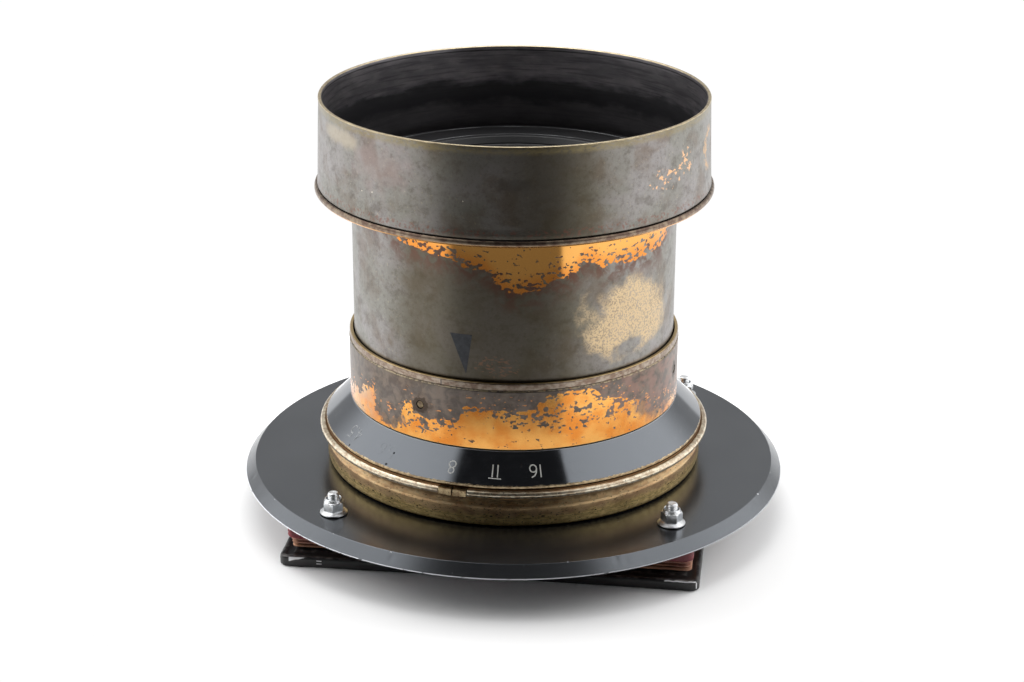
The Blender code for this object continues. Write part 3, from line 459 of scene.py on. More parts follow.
def cone_material():
    """Glossy black paint on the scale ring, worn to brass along its lip, pitted here and there, with a
    painted highlight along its top edge.
    """
    f = Finish("scale_paint")
    scuffs = f.grain(9, 5, (1, 1, 1.3))
    brushing = f.grain(0.5, 3, (0.12, 0.12, 1.0), 37)
    pits = f.step(f.grain(1.4, 2, shift=4), 0.77, 0.79)
    wear = f.height + f.spread(1.3, 0.32, detail=4.0)
    lip = f.step(wear, 41.25, 41.05) * f.step(f.radius, 82.6, 82.9)
    brass = f.mix(f.step(f.grain(1.8, 4), 0.35, 0.65), (0.60, 0.48, 0.30), (0.32, 0.23, 0.14))
    paint = f.mix(f.step(scuffs, 0.4, 0.8), (0.003, 0.003, 0.004), (0.007, 0.007, 0.009))
    dust = f.step(f.grain(0.7, 3, shift=26), 0.66, 0.74)
    paint = f.mix(dust * 0.22, paint, (0.12, 0.12, 0.13))
    cloudy = f.step(f.grain(6, 4, (1, 1, 2.0), 15), 0.52, 0.72) * f.step(brushing, 0.40, 0.62) * 0.22
    paint = f.mix(cloudy, paint, (0.10, 0.10, 0.105))
    # Painted highlight: a grey line along the rounded top edge
    edge = f.inside(f.height, 51.85, 52.15, 0.1) * 0.5
    paint = f.mix(edge, paint, (0.30, 0.30, 0.31))
    holes = f.largest(*[f.near(cone_point(angle, along, 0.0), size, 0.3, 1.0)
                        for angle, along, size in PAINT_PITS])
    paint = f.mix(holes, paint, (0.0, 0.0, 0.0))
    gloss = f.blend(holes, scuffs * 0.08 + brushing * 0.03 + 0.025, 1.0)
    f.set(Base_Color=f.mix(lip, paint, brass), Metallic=lip, Roughness=f.blend(lip, gloss, 0.34),
          IOR=2.55, Specular_Tint=COOL)
    f.relief(scuffs * 0.3 - f.largest(pits, holes), 0.03)
    return f.material


def bead_material():
    """Brass bead of the index ring: bright on its round edge, brown in its corners, with painted shade on
    its underside.
    """
    f = Finish("bead_brass")
    tone = f.mix(f.step(f.grain(2.2, 5, (1, 1, 1.6)), 0.36, 0.64),
                 (0.80, 0.72, 0.56), (0.50, 0.38, 0.26))
    dark_marks = f.step(f.grain(0.9, 3, shift=12), 0.63, 0.69)
    roughened = f.grain(0.9, 3)
    bright = (f.mix(dark_marks * 0.7, tone, PATINA_DARK), 0.30, roughened)
    brown = ((0.22, 0.12, 0.055), 0.42, roughened)
    finish = layer(f, f.step(f.radius, 84.1, 84.5), brown, bright)
    # Painted shade on the underside of the bead and the ring below it
    low = f.step(f.height, 36.6, 36.2)
    return metal(f, layer(f, low, finish, ((0.16, 0.10, 0.05), 0.5, roughened)), 0.02)


def flange_material():
    """Mottled base ring: brown and pinkish above, olive gold below, with short dark dashes and painted
    shade in the cove and along the foot.
    """
    f = Finish("base_brass")
    streaks = f.grain(3.0, 5, (1, 1, 3.0))
    clouds = f.grain(7, 4, (1, 1, 1.6), 19)
    drift = f.height + f.spread(5, 1.6, detail=4.0)
    upper = f.step(drift, 26.2, 29.0)
    tone = f.mix(f.step(streaks, 0.36, 0.62), (0.85, 0.64, 0.28), (0.58, 0.41, 0.17))
    brown = f.mix(f.step(clouds, 0.38, 0.62), (0.62, 0.42, 0.24), (0.40, 0.23, 0.14))
    tone = f.mix(upper * 0.75, tone, brown)
    specks = f.step(f.grain(1.3, 3, (1, 1, 2.2), 23), 0.60, 0.65)
    dashes = f.inside(f.height, 26.7, 27.3, 0.15) * f.step(f.grain(2.4, 2, (1, 1, 0.6), 71), 0.58, 0.62)
    groove = f.inside(f.height, 26.1, 26.3, 0.12)
    top_line = f.inside(drift, 31.2, 31.9, 0.3) * 0.3
    golden = f.step(f.height, 33.9, 34.2) * f.step(f.grain(2.5, 3, shift=91), 0.35, 0.55) * 0.8
    # Painted shade in the cove under the index ring and along the foot where the ring meets the disc
    cove = f.step(f.height + f.spread(3, 0.5), 32.0, 33.6) * 0.8
    foot = f.step(f.height + f.spread(2, 0.2), 22.35, 22.0)
    # Dark specks, dashes and the groove line, together with the painted shade of the cove and the foot
    dark_marks = f.largest(specks * 0.7, groove * 0.5, dashes, cove, foot)
    colour = f.mix(top_line, f.mix(dark_marks, tone, (0.065, 0.045, 0.025)), PALE_BRASS)
    colour = f.mix(golden, colour, GOLD)
    f.set(Base_Color=colour, Metallic=1.0, Roughness=f.blend(dark_marks, 0.40, 0.58))
    f.relief(turning_lines(f, 0.5) * 0.4 + streaks * 0.6, 0.02)
    return f.material


def disc_material():
    """Satin black disc: faint wipes, a few bright specks and a lower edge worn to metal."""
    f = Finish("disc_satin_black")
    wipes = f.grain(35, 5)
    fine = f.grain(0.8, 3)
    colour = f.mix(f.step(wipes, 0.3, 0.7), (0.006, 0.006, 0.0065), (0.010, 0.010, 0.0105))
    dust = f.step(f.grain(1.3, 2, shift=3), 0.775, 0.79)
    colour = f.mix(dust * 0.7, colour, rgb(190, 188, 186))
    break_up = f.step(f.grain(5, 4, shift=8), 0.34, 0.42)
    low_edge = f.step(f.height, 17.12, 16.98)
    fading = f.blend(f.step(f.angle, 0.0, 25.0), 1.0, 0.45)
    rim = low_edge * f.step(f.radius, 119.4, 119.7) * break_up * fading
    upper = f.inside(f.radius, 115.5, 116.1, 0.15) * f.step(f.grain(2.5, 3, shift=14), 0.66, 0.70)
    mark_mask = f.largest(rim, upper)
    f.set(Base_Color=f.mix(mark_mask, colour, rgb(225, 226, 230)), Metallic=mark_mask * 0.4,
          Roughness=f.blend(mark_mask, wipes * 0.08 + 0.20, 0.45), IOR=2.3, Specular_Tint=COOL)
    f.relief(fine * 0.7 + f.grain(6, 3) * 0.3, 0.012)
    return f.material


def zinc_material():
    """Bright zinc plate, a little blue in places and dull in others."""
    f = Finish("zinc_plate")
    clouds = f.grain(1.6, 4)
    colour = f.mix(f.step(clouds, 0.35, 0.65), (0.88, 0.90, 0.93), (0.70, 0.71, 0.71))
    f.set(Base_Color=colour, Metallic=1.0, Roughness=clouds * 0.12 + 0.29)
    f.relief(f.grain(0.5, 3), 0.012)
    return f.material


def nylon_material():
    f = Finish("nylon_insert")
    f.set(Base_Color=f.mix(f.grain(0.6), (0.05, 0.12, 0.20), (0.12, 0.20, 0.27)), Roughness=0.4)
    return f.material


def black_metal_material():
    """Blackened brass of the cells and rings, with fine turning marks."""
    f = Finish("inside_black")
    lines = turning_lines(f, 0.3)
    rings = f.add("ShaderNodeTexNoise", {"W": f.radius * 3.0}, noise_dimensions="1D")
    worn = f.step(f.grain(2.5, 5), 0.60, 0.72)
    colour = f.mix(worn * 0.5, (0.016, 0.016, 0.017), (0.075, 0.070, 0.068))
    f.set(Base_Color=colour, Metallic=0.3, Roughness=lines * 0.12 + 0.36)
    f.relief(lines * 0.5 + rings * 0.5, 0.02)
    return f.material


def cell_material():
    """Blackened cell of the front lens, worn in places, with highlights painted as pale arcs along its two
    turned grooves.
    """
    f = Finish("front_cell_black")
    lines = turning_lines(f, 0.3)
    worn = f.step(f.grain(2.5, 5), 0.60, 0.72)
    colour = f.mix(worn * 0.4, (0.007, 0.007, 0.008), (0.030, 0.028, 0.028))
    top = f.step(f.height, 149.5, 149.9)
    # Painted highlights: pale arcs along the two turned grooves on the top face
    groove_highlights = f.largest(f.inside(f.radius, 75.45, 75.85, 0.12), f.inside(f.radius, 63.0, 63.4, 0.12))
    mark_mask = groove_highlights * top * f.blend(f.step(f.grain(14, 3, shift=5), 0.40, 0.60), 0.35, 1.0)
    f.set(Base_Color=f.mix(mark_mask, colour, (0.42, 0.43, 0.44)), Metallic=mark_mask * 0.3,
          Roughness=lines * 0.12 + 0.42)
    f.relief(lines, 0.02)
    return f.material


def brass_material(name, light, dark, shift=0.0):
    """Plain tarnished brass for screws, blocks and rings that are seldom seen."""
    f = Finish(name)
    tone = f.mix(f.step(f.grain(2.2, 4, shift=shift), 0.35, 0.65), light, dark)
    return metal(f, (tone, f.grain(1.2) * 0.2 + 0.2, turning_lines(f)), 0.02)


def steel_material():
    """Blued steel of the iris, brushed round the axis."""
    f = Finish("iris_blued_steel")
    brushed = f.grain(2.0, 4)
    colour = f.mix(f.step(brushed, 0.35, 0.7), (0.045, 0.047, 0.055), (0.085, 0.082, 0.085))
    f.set(Base_Color=colour, Metallic=1.0, Roughness=brushed * 0.18 + 0.30)
    f.relief(f.grain(0.35, 3), 0.01)
    return f.material


def glass_material():
    """Old optical glass: clear, with a faint tint and a little dust on the face."""
    f = Finish("optical_glass")
    tint = f.mix(f.step(f.grain(30, 2), 0.4, 0.7), (0.93, 0.97, 0.93), (0.97, 0.97, 0.94))
    f.set(Base_Color=tint,
          Transmission_Weight=1.0, IOR=1.52, Specular_IOR_Level=0.2,
          Roughness=f.step(f.grain(1.2, 2, shift=2), 0.74, 0.80) * 0.25)
    return f.material


def leather_material():
    """Faded tan and pink leather with painted shade in its folds, pale spots painted as highlights, and
    fine wrinkles.
    """
    f = Finish("bellows_leather")
    clouds = f.grain(22, 4, (1, 1, 3))
    lines = f.grain(2.2, 5, (0.5, 0.5, 2.0), 7)
    colour = f.mix(f.step(clouds, 0.38, 0.62), rgb(170, 127, 100), rgb(161, 115, 105))
    colour = f.mix(f.step(lines, 0.45, 0.62) * 0.4, colour, rgb(112, 76, 62))
    along, across = rear_axes(f)
    wide, deep, _ = BELLOWS_OUTLINE
    inset = f.largest(f.math("ABSOLUTE", along) - wide / 2, f.math("ABSOLUTE", across) - deep / 2)
    # Painted shade: darker in the folds, away from the outer noses
    colour = f.mix(f.step(inset, -1.6, -4.0) * 0.8, colour, rgb(104, 70, 56))
    # Painted highlights: pale spots
    colour = f.mix(f.step(f.grain(1.2, 4, shift=5), 0.55, 0.72) * 0.35, colour, rgb(214, 178, 158))
    f.set(Base_Color=colour, Roughness=lines * 0.2 + 0.55)
    f.relief(lines * 0.5 + f.grain(0.5, 4) * 0.5, 0.12)
    return f.material


def red_leather_material():
    """Dark red grained covering of the front board, rubbed pale here and there."""
    f = Finish("board_red_leather")
    pores = f.add("ShaderNodeTexVoronoi", {"Vector": f.place, "Scale": 1.6}, "Distance")
    lines = f.grain(2.0, 5, (0.3, 0.3, 2.0))
    colour = f.mix(f.step(f.grain(14, 4), 0.4, 0.6), rgb(124, 30, 40), rgb(88, 20, 28))
    colour = f.mix(f.step(lines, 0.56, 0.70) * 0.6, colour, rgb(168, 84, 84))
    f.set(Base_Color=colour, Roughness=lines * 0.25 + 0.42)
    f.relief(pores * 0.6 + lines * 0.4, 0.10)
    return f.material


def frame_material():
    """Black lacquered frame, patchily grey on its top faces from scuffs and painted light, and chipped
    white at its front edge.
    """
    f = Finish("frame_black")
    scuffs = f.grain(5, 5, (0.5, 0.5, 2.0))
    colour = f.mix(f.step(scuffs, 0.35, 0.7), (0.008, 0.008, 0.009), (0.020, 0.019, 0.019))
    # Scuffs and painted light: the top faces are patchily lighter grey
    ledge = f.step(f.height, 3.9, 4.3) * f.step(f.grain(3, 5, shift=6), 0.42, 0.66)
    colour = f.mix(ledge * 0.75, colour, (0.14, 0.13, 0.125))
    along, across = rear_axes(f)
    front = f.step(across, -85.9, -86.3)
    drift = f.spread(2.2, 0.25, detail=4.0)
    wedge_low = (along + 84.5) * 0.24 + 2.3
    wedge = (f.step(f.height + drift, wedge_low, wedge_low + 0.3)
             * f.inside(along, -84.5, -77.5, 0.3) * f.step(f.height, 4.2, 4.0))
    two_lines = f.largest(f.inside(f.height, 2.9, 3.3, 0.08), f.inside(f.height, 1.6, 2.0, 0.08))
    dashes = f.inside(along, -72.6, -70.4, 0.15) * two_lines
    edge_line = f.inside(along, 74.5, 88.4, 0.4) * f.inside(f.height + drift * 0.4, 3.75, 4.15, 0.1)
    corner_line = f.inside(along + drift * 0.3, 87.6, 88.3, 0.12) * f.inside(f.height, 0.9, 4.0, 0.2)
    white = front * f.largest(wedge, dashes, edge_line, corner_line)
    f.set(Base_Color=f.mix(white, colour, rgb(232, 232, 233)), Roughness=scuffs * 0.3 + 0.20)
    f.relief(scuffs * 0.6 + f.grain(0.8, 3) * 0.4, 0.05)
    return f.material


def numeral_material():
    """White paint in the engraving, rubbed nearly away towards both ends of the scale."""
    f = Finish("scale_white")
    worn = f.profile([(-180, 0.9), (-70, 0.82), (-55, 0.82), (-48, 0.98), (-38, 0.98), (-30, 0.6),
                      (-19, 0.25), (0, 0.05), (12, 0.1), (16, 0.97), (24, 0.97), (180, 0.9)], 0, 1)
    patchy = f.math("MINIMUM", worn + f.spread(1.2, 0.15, detail=4.0), 1.0)
    f.set(Base_Color=f.mix(patchy, rgb(214, 213, 205), rgb(13, 13, 15)),
          Roughness=f.blend(patchy, 0.5, 0.10), IOR=2.55, Specular_Tint=COOL)
    return f.material


def pointer_material():
    """Dark paint of the pointer and the index line, slightly blue."""
    f = Finish("pointer_paint")
    f.set(Base_Color=f.mix(f.step(f.grain(2, 4), 0.35, 0.7), rgb(30, 33, 38), rgb(48, 50, 56)),
          Roughness=f.grain(1.5) * 0.2 + 0.35)
    f.relief(f.grain(0.7, 3), 0.03)
    return f.material


def rear_axes(f):
    """Millimetres along and across the rear frame, which is turned a little about the axis."""
    cosine, sine = math.cos(REAR_TURN), math.sin(REAR_TURN)
    along = f.x * cosine + f.y * sine
    across = f.x * -sine + f.y * cosine
    return along, across


def put_in_scene(name, builder):
    """Makes an object from a shape in millimetres."""
    bmesh.ops.recalc_face_normals(builder, faces=builder.faces)
    builder.transform(Matrix.Scale(MM, 4))
    mesh = bpy.data.meshes.new(name)
    builder.to_mesh(mesh)
    builder.free()
    obj = bpy.data.objects.new(name, mesh)
    bpy.context.scene.collection.objects.link(obj)
    return obj


def finish_piece(name, builder, material, body, replaced=(), smooth=40):
    """Makes a piece that is smooth but for its real edges, and lets it ride on its body."""
    obj = put_in_scene(name, builder)
    obj.data.materials.append(material)
    obj.data.shade_smooth()
    obj.data.set_sharp_from_angle(angle=math.radians(smooth))
    even = obj.modifiers.new("even_normals", "WEIGHTED_NORMAL")
    even.keep_sharp = True
    if body:
        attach(obj, body)
    if replaced:
        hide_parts(*replaced)
    return obj


def rounded(profile, steps=4):
    """Rounds the corners of a closed profile. Points are (radius, height) or with a rounding."""
    points = []
    count = len(profile)
    for index, point in enumerate(profile):
        rounding = point[2] if len(point) > 2 else 0.0
        if rounding == 0.0 or callable(point[0]):
            points.append((point[0], point[1]))
            continue
        corner = Vector(point[:2])
        ends = []
        for neighbour in (profile[index - 1], profile[(index + 1) % count]):
            side = Vector(neighbour[:2]) - corner
            ends.append(corner + side.normalized() * min(rounding, side.length * 0.45))
        for step in range(steps + 1):
            share = step / steps
            first = ends[0] * (1 - share) ** 2
            points.append(tuple(first + corner * (2 * share * (1 - share)) + ends[1] * share ** 2))
    return points


def turn(profile, steps=ROUND_STEPS, start=0.0, sweep=TURN, shape=None):
    """Turns a closed profile about the Z axis. A radius may be a function of the angle."""
    builder = bmesh.new()
    full = abs(sweep - TURN) < 1e-9
    columns = steps if full else steps + 1
    rows = []
    for radius, height in rounded(profile):
        if radius == 0.0:
            rows.append([builder.verts.new((0, 0, height))] * columns)
            continue
        row = []
        for column in range(columns):
            angle = start + sweep * column / steps
            reach = radius(angle) if callable(radius) else radius
            if shape:
                reach += shape(angle, reach, height)
            row.append(builder.verts.new((reach * math.cos(angle), reach * math.sin(angle), height)))
        rows.append(row)
    for row, following in zip(rows, rows[1:] + rows[:1]):
        for column in range(steps):
            after = (column + 1) % columns
            corners = [row[column], row[after], following[after], following[column]]
            corners = list(dict.fromkeys(corners))
            if len(corners) > 2:
                builder.faces.new(corners)
    if not full:
        builder.faces.new([row[0] for row in rows])
        builder.faces.new([row[-1] for row in rows])
    return builder


def refine(node, builder, material, body, smooth=40):
    """Makes the finer piece that stands in for a CAD node."""
    return finish_piece(f"{node}_fine", builder, material, body, [node], smooth)


def turned(node, profile, material, body, slot, **more):
    """A turned piece that stands in for a CAD node."""
    return refine(node, turn(profile, **more), material, body)


def tube(inner, outer, low, high, edge=0.25):
    return [(inner, low, edge), (outer, low, edge), (outer, high, edge), (inner, high, edge)]


def lathe_angle(angle):
    """The angle from +X in radians for an angle round the lens in degrees from the camera side."""
    return math.radians(angle - 90)


def cut(obj, builder):
    """Takes a shape in millimetres out of a piece, for good."""
    cutter = put_in_scene("cutter", builder)
    step = obj.modifiers.new("cut", "BOOLEAN")
    step.object = cutter
    step.solver = "EXACT"
    normals = obj.modifiers["even_normals"]
    normals.show_viewport = False
    bpy.context.view_layer.update()
    evaluated = obj.evaluated_get(bpy.context.evaluated_depsgraph_get())
    result = bpy.data.meshes.new_from_object(evaluated)
    obj.modifiers.remove(step)
    bpy.data.objects.remove(cutter, do_unlink=True)
    obj.data = result
    result.set_sharp_from_angle(angle=math.radians(40))
    normals.show_viewport = True


def radial_bar(radius, near, far, angle, height):
    """A round bar along a radius of the lens, angle in degrees from +X."""
    builder = turn([(0.0, near), (radius, near, 0.15), (radius, far, 0.15), (0.0, far)], SMALL_STEPS)
    turned_over = Matrix.Rotation(math.radians(angle), 4, "Z") @ Matrix.Rotation(math.pi / 2, 4, "Y")
    builder.transform(Matrix.Translation((0, 0, height)) @ turned_over)
    return builder


def make_disc(material):
    """Lens disc with a broad bevel that has a few knocks in it."""
    knocks = [(random.uniform(-math.pi, math.pi), random.uniform(17.5, 21.0)) for _ in range(26)]

    def knocked(angle, radius, height):
        if radius < 114:
            return 0.0
        depth = 0.0
        for where, level in knocks:
            away = math.remainder(angle - where, TURN) * radius
            near = (away / 0.9) ** 2 + ((height - level) / 0.7) ** 2
            depth += 0.22 * math.exp(-near)
        return -depth

    slope = [(120.3 - 4.6 * share, 16.7 + 4.9 * share) for share in (0.2, 0.4, 0.6, 0.8)]
    top = [(115.7, DISC_TOP, 0.15), (83.6, DISC_TOP), (83.6, 21.5), (71.0, 21.5, 0.2)]
    profile = [(71.0, 16.7, 0.2), (120.3, 16.7, 0.25)] + slope + top
    turned("lens_disc", profile, material, BOARD, "disc_paint", steps=768, shape=knocked)


def hexagon(across):
    side = TURN / 6
    return lambda angle: across / 2 / math.cos((angle % side) - side / 2)


def chamfered(across, limit):
    """A hexagon cut to a round limit, as on a chamfered nut."""
    shape = hexagon(across)
    return lambda angle: min(shape(angle), limit)


def make_nut(number, place, turn_angle, material, nylon):
    """Flange nut: round flange, chamfered hexagon and a rolled collar with a nylon insert."""
    base = DISC_TOP + 0.3
    across = 8.0
    rows = [(2.85, 0.0), (5.5, 0.0), (5.82, 0.12), (5.9, 0.35), (5.84, 0.6), (5.5, 0.85), (4.75, 1.45)]
    rows += [(chamfered(across, 4.42), 1.62), (hexagon(across), 1.95), (hexagon(across), 4.75)]
    rows += [(chamfered(across, 4.42), 5.12), (chamfered(across, 4.15), 5.4), (3.78, 5.58), (3.7, 5.75)]
    rows += [(3.68, 6.35), (3.55, 6.7), (3.3, 6.88), (3.08, 6.8), (2.98, 6.55), (2.95, 6.1), (2.85, 5.9)]
    builder = turn(rows, 96)
    builder.transform(Matrix.Translation((*place, base)) @ Matrix.Rotation(turn_angle, 4, "Z"))
    refine(f"flange_nut_{number}", builder, material, BOARD, smooth=28)
    insert = turn([(2.53, 5.2), (2.83, 5.2), (2.92, 6.2, 0.1), (2.62, 6.35, 0.1), (2.53, 6.0)], SMALL_STEPS)
    insert.transform(Matrix.Translation((*place, base)))
    finish_piece(f"nylon_insert_{number}", insert, nylon, BOARD)


def make_bolt(number, place, phase, material):
    """Countersunk bolt with a real thread where it stands out of its nut."""
    pitch = 0.8
    thread_depth = 0.42
    tip = 31.2

    def thread(height):
        fade = min(1.0, (tip - 0.25 - height) / 0.5)
        return lambda angle: 2.5 - thread_depth * fade * abs(
            2 * (((height / pitch) - (angle + phase) / TURN) % 1.0) - 1)

    rows = [(0.0, 11.9), (4.6, 11.9), (4.6, 12.4), (2.5, 14.5), (2.5, 24.0)]
    steps = 52
    rows += [(thread(24.6 + 6.0 * step / steps), 24.6 + 6.0 * step / steps) for step in range(steps)]
    rows += [(2.3, 30.75), (2.0, tip - 0.1), (1.85, tip), (1.2, tip - 0.12), (0.0, tip - 0.2)]
    builder = turn(rows, SMALL_STEPS)
    builder.transform(Matrix.Translation((*place, 0)))
    refine(f"disc_bolt_{number}", builder, material, BOARD, smooth=50)


def make_fasteners():
    zinc = zinc_material()
    nylon = nylon_material()
    for number, angle in enumerate(BOLT_ANGLES, 1):
        at = math.radians(angle)
        place = (BOLT_RING * math.cos(at), BOLT_RING * math.sin(at))
        make_nut(number, place, random.uniform(0, TURN), zinc, nylon)
        make_bolt(number, place, random.uniform(0, TURN), zinc)


def oval(centre, size, first, last, steps=18):
    """Points on an oval or round stretch of a profile or a stroke, angles in degrees."""
    points = []
    for step in range(steps + 1):
        angle = math.radians(first + (last - first) * step / steps)
        points.append((centre[0] + size[0] * math.cos(angle), centre[1] + size[1] * math.sin(angle)))
    return points


def make_mount(brass, scale_paint):
    """Clamp ring, base ring, beaded index ring with its two blocks, and the scale ring."""
    turned("rear_clamp_ring", tube(71.0, 75.4, 13.0, 16.4, 0.4), brass, BOARD, "turned_brass")
    foot = oval((80.6, 24.5), (2.6, 2.6), -90, 0, 8)
    cove = [(83.2, 31.0, 0.8), (82.3, 31.8, 0.8), (81.4, 33.0, 0.8), (81.0, 34.6, 0.15)]
    profile = ([(66.3, 13.6, 0.2), (70.7, 13.6, 0.3), (70.7, 21.9)] + foot + cove
               + [(70.0, 34.6), (70.0, 46.6, 0.3), (66.3, 46.6, 0.2)])
    turned("mounting_flange", profile, flange_material(), BOARD, "turned_brass")
    bead = oval((84.8, 37.7), (1.6, 1.6), -118, 116, 20)
    profile = ([(76.0, 34.9, 0.2), (82.4, 34.9, 0.2), (82.4, 36.0, 0.3)] + bead
               + [(83.75, 38.95, 0.1), (83.5, 39.4, 0.15), (76.0, 39.4, 0.2)])
    ring = turned("index_ring", profile, bead_material(), BOARD, "turned_brass")
    width = math.radians(8.5)
    centre = math.radians(INDEX_ANGLE)
    cut(ring, turn([(83.3, 34.4), (90, 34.4), (90, 41), (83.3, 41)], 8, centre - width / 2, width))
    line = 0.35 / 86.4
    play = 0.3 / 86.4
    span = width / 2 - line - play
    block = [(83.7, 36.2, 0.1), (86.4, 36.2, 0.25), (86.4, 39.2, 0.25), (83.7, 39.2, 0.1)]
    for side, start in (("left", centre - line - span), ("right", centre + line)):
        turned(f"index_block_{side}", block, brass, BOARD, "turned_brass",
               steps=10, start=start, sweep=span)
    lip = [(80.2, 39.8, 0.15), (83.6, 39.8, 0.35), (*CONE_LOW, 0.25)]
    profile = [(66.6, 47.0, 0.2), (71.6, 47.0, 0.3)] + lip + [(*CONE_TOP, 0.35), (66.6, 52.2, 0.2)]
    ring = turned("aperture_ring", profile, scale_paint, SCALE, "scale_black")
    cut(ring, radial_bar(1.5, 62, 84, 60, 50.0))


def make_collar(material, brass):
    """Sleeve round the barrel with a band at its top and three sunk set screws."""
    band = [(72.0, 79.0, 0.15), (72.4, 79.5, 0.2), (72.4, 81.9, 0.35), (72.0, 82.3, 0.2)]
    profile = ([(66.3, 52.6, 0.2), (COLLAR_RADIUS, 52.6, 0.25), (COLLAR_RADIUS, 78.5, 0.25)] + band
               + [(70.9, 82.3, 0.15), (70.9, 56.4, 0.3), (66.3, 56.4, 0.2)])
    collar = turned("collar", profile, material, BOARD, "lacquered_brass")
    for number, angle in enumerate(SCREW_ANGLES, 1):
        cut(collar, radial_bar(1.9, 69, 76, angle, SCREW_HEIGHT))
        name = f"collar_screw_{number}"
        screw = refine(name, radial_bar(1.6, 71.0, 72.4, angle, SCREW_HEIGHT), brass, BOARD)
        slot = bmesh.new()
        bmesh.ops.create_cube(slot, size=1.0)
        slot.transform(Matrix.Diagonal((1.4, 4.5, 0.5, 1.0)))
        lean = Matrix.Rotation(0.7 * number, 4, "X")
        slot.transform(Matrix.Rotation(math.radians(angle), 4, "Z")
                       @ Matrix.Translation((COLLAR_RADIUS, 0, SCREW_HEIGHT)) @ lean)
        cut(screw, slot)


def make_barrel():
    """Barrel tube with the groove for its guide ring."""
    groove = [(68.0, 64.0), (69.2, 64.0), (69.2, 60.0), (68.0, 60.0)]
    profile = [(68.0, 57.0, 0.2), (BARREL_RADIUS, 57.0, 0.3), (BARREL_RADIUS, 128.0),
               (70.8, 147.2, 0.2), (68.0, 147.2, 0.2)] + groove
    turned("barrel", profile, barrel_material(), FRONT, "patinated_brass")


def dent(angle, radius, height):
    """Shallow dent in the hood's wall, and the faint unevenness of an old spun tube."""
    if height < 151 or height > 186:
        return 0.0
    away = math.remainder(angle - lathe_angle(-37), TURN) * radius
    near = (away / 3.4) ** 2 + ((height - 170) / 3.0) ** 2
    place = Vector((math.cos(angle) * 2.2, math.sin(angle) * 2.2, height / 22))
    return -0.45 * math.exp(-near) + 0.10 * noise.noise(place) - 0.12


def make_hood():
    """Base ring with its bead, and the drum above it, slightly out of true."""
    profile = [(71.1, 145.7, 0.2), (85.2, 145.7, 0.3), (86.0, 146.6, 0.4), (86.0, 147.7, 0.4),
               (85.4, 148.5, 0.3), (81.2, 148.5, 0.2), (81.2, 147.2, 0.15), (71.1, 147.2, 0.2)]
    turned("hood_base_ring", profile, hood_base_material(), FRONT, "patinated_brass")
    outside = [(84.7 - 1.2 * step / 24, 149.2 + 35.4 * step / 24) for step in range(25)]
    inside = [(82.0, 184.6 - 35.4 * step / 24) for step in range(25)]
    rim = [(83.5, 186.3), (83.3, 186.6), (82.9, 186.7), (82.4, 186.7), (82.1, 186.5), (82.0, 186.2)]
    profile = [(82.0, 148.8), (84.5, 148.8)] + outside + rim + inside
    turned("hood", profile, hood_material(), FRONT, "patinated_brass", steps=256, shape=dent)


def lens_profile(radius, seat, edge, front, back, steps=24):
    """Profile of a lens. A radius of curvature is positive where its face bulges out."""
    def bulge(reach, curvature):
        whole = abs(curvature) - math.sqrt(curvature ** 2 - radius ** 2)
        here = abs(curvature) - math.sqrt(curvature ** 2 - reach ** 2)
        return math.copysign(whole - here, curvature)

    reaches = [radius * step / steps for step in range(steps + 1)]
    below = [(reach, seat - bulge(reach, back)) for reach in reaches]
    above = [(reach, seat + edge + bulge(reach, front)) for reach in reversed(reaches)]
    return below + above


def make_glass():
    clear = glass_material()
    turned("front_lens", lens_profile(56.0, 139.5, 3.5, 190.0, -900.0), clear, FRONT, "optical_glass")
    turned("middle_lens", lens_profile(48.0, 100.6, 11.0, -300.0, -280.0), clear, BOARD, "optical_glass")
    turned("rear_lens", lens_profile(52.0, 17.0, 4.0, 700.0, 170.0), clear, BOARD, "optical_glass")


def ring_groove(radius, top):
    """A fine turned line in the flat top of a ring."""
    return [(radius + 0.22, top), (radius, top - 0.22), (radius - 0.22, top)]


def make_cells(black):
    """Cells and retaining rings that hold the three lenses."""
    top = 150.3
    profile = ([(54.0, 134.0, 0.3), (67.6, 134.0, 0.4), (67.6, 147.5), (78.2, 147.5, 0.2),
                (78.2, 149.7, 0.2), (77.6, top, 0.2)] + ring_groove(75.6, top) + ring_groove(63.2, top)
               + [(60.0, top, 0.4), (57.8, 147.6, 0.2), (57.8, 143.4), (56.6, 143.4),
                  (56.6, 139.1), (54.0, 139.1, 0.2)])
    turned("front_cell", profile, cell_material(), FRONT, "inside_black")
    profile = [(55.0, 143.6), (57.4, 143.6), (57.4, 147.4, 0.2), (56.2, 147.4, 0.2), (54.2, 145.4, 0.2)]
    turned("front_retaining_ring", profile, black, FRONT, "inside_black")
    profile = [(46.0, 98.0, 0.2), (54.0, 98.0, 0.3), (62.2, 108.0, 0.3), (62.2, 113.6, 0.2),
               (49.5, 113.6, 0.4), (48.4, 112.6, 0.2), (48.4, 100.2), (46.0, 100.2, 0.2)]
    turned("middle_cell", profile, black, BOARD, "inside_black")
    turned("middle_retaining_ring", tube(45.5, 48.1, 111.9, 113.3), black, BOARD, "inside_black")
    profile = [(52.5, 9.4, 0.3), (64.4, 9.4, 0.4), (64.4, 13.2, 0.3), (62.2, 13.2), (62.2, 27.0, 0.3),
               (50.0, 27.0, 0.3), (50.0, 21.4), (52.5, 21.4)]
    turned("rear_cell", profile, black, BOARD, "inside_black")
    turned("rear_retaining_ring", tube(50.4, 52.2, 12.0, 16.2), black, BOARD, "inside_black")


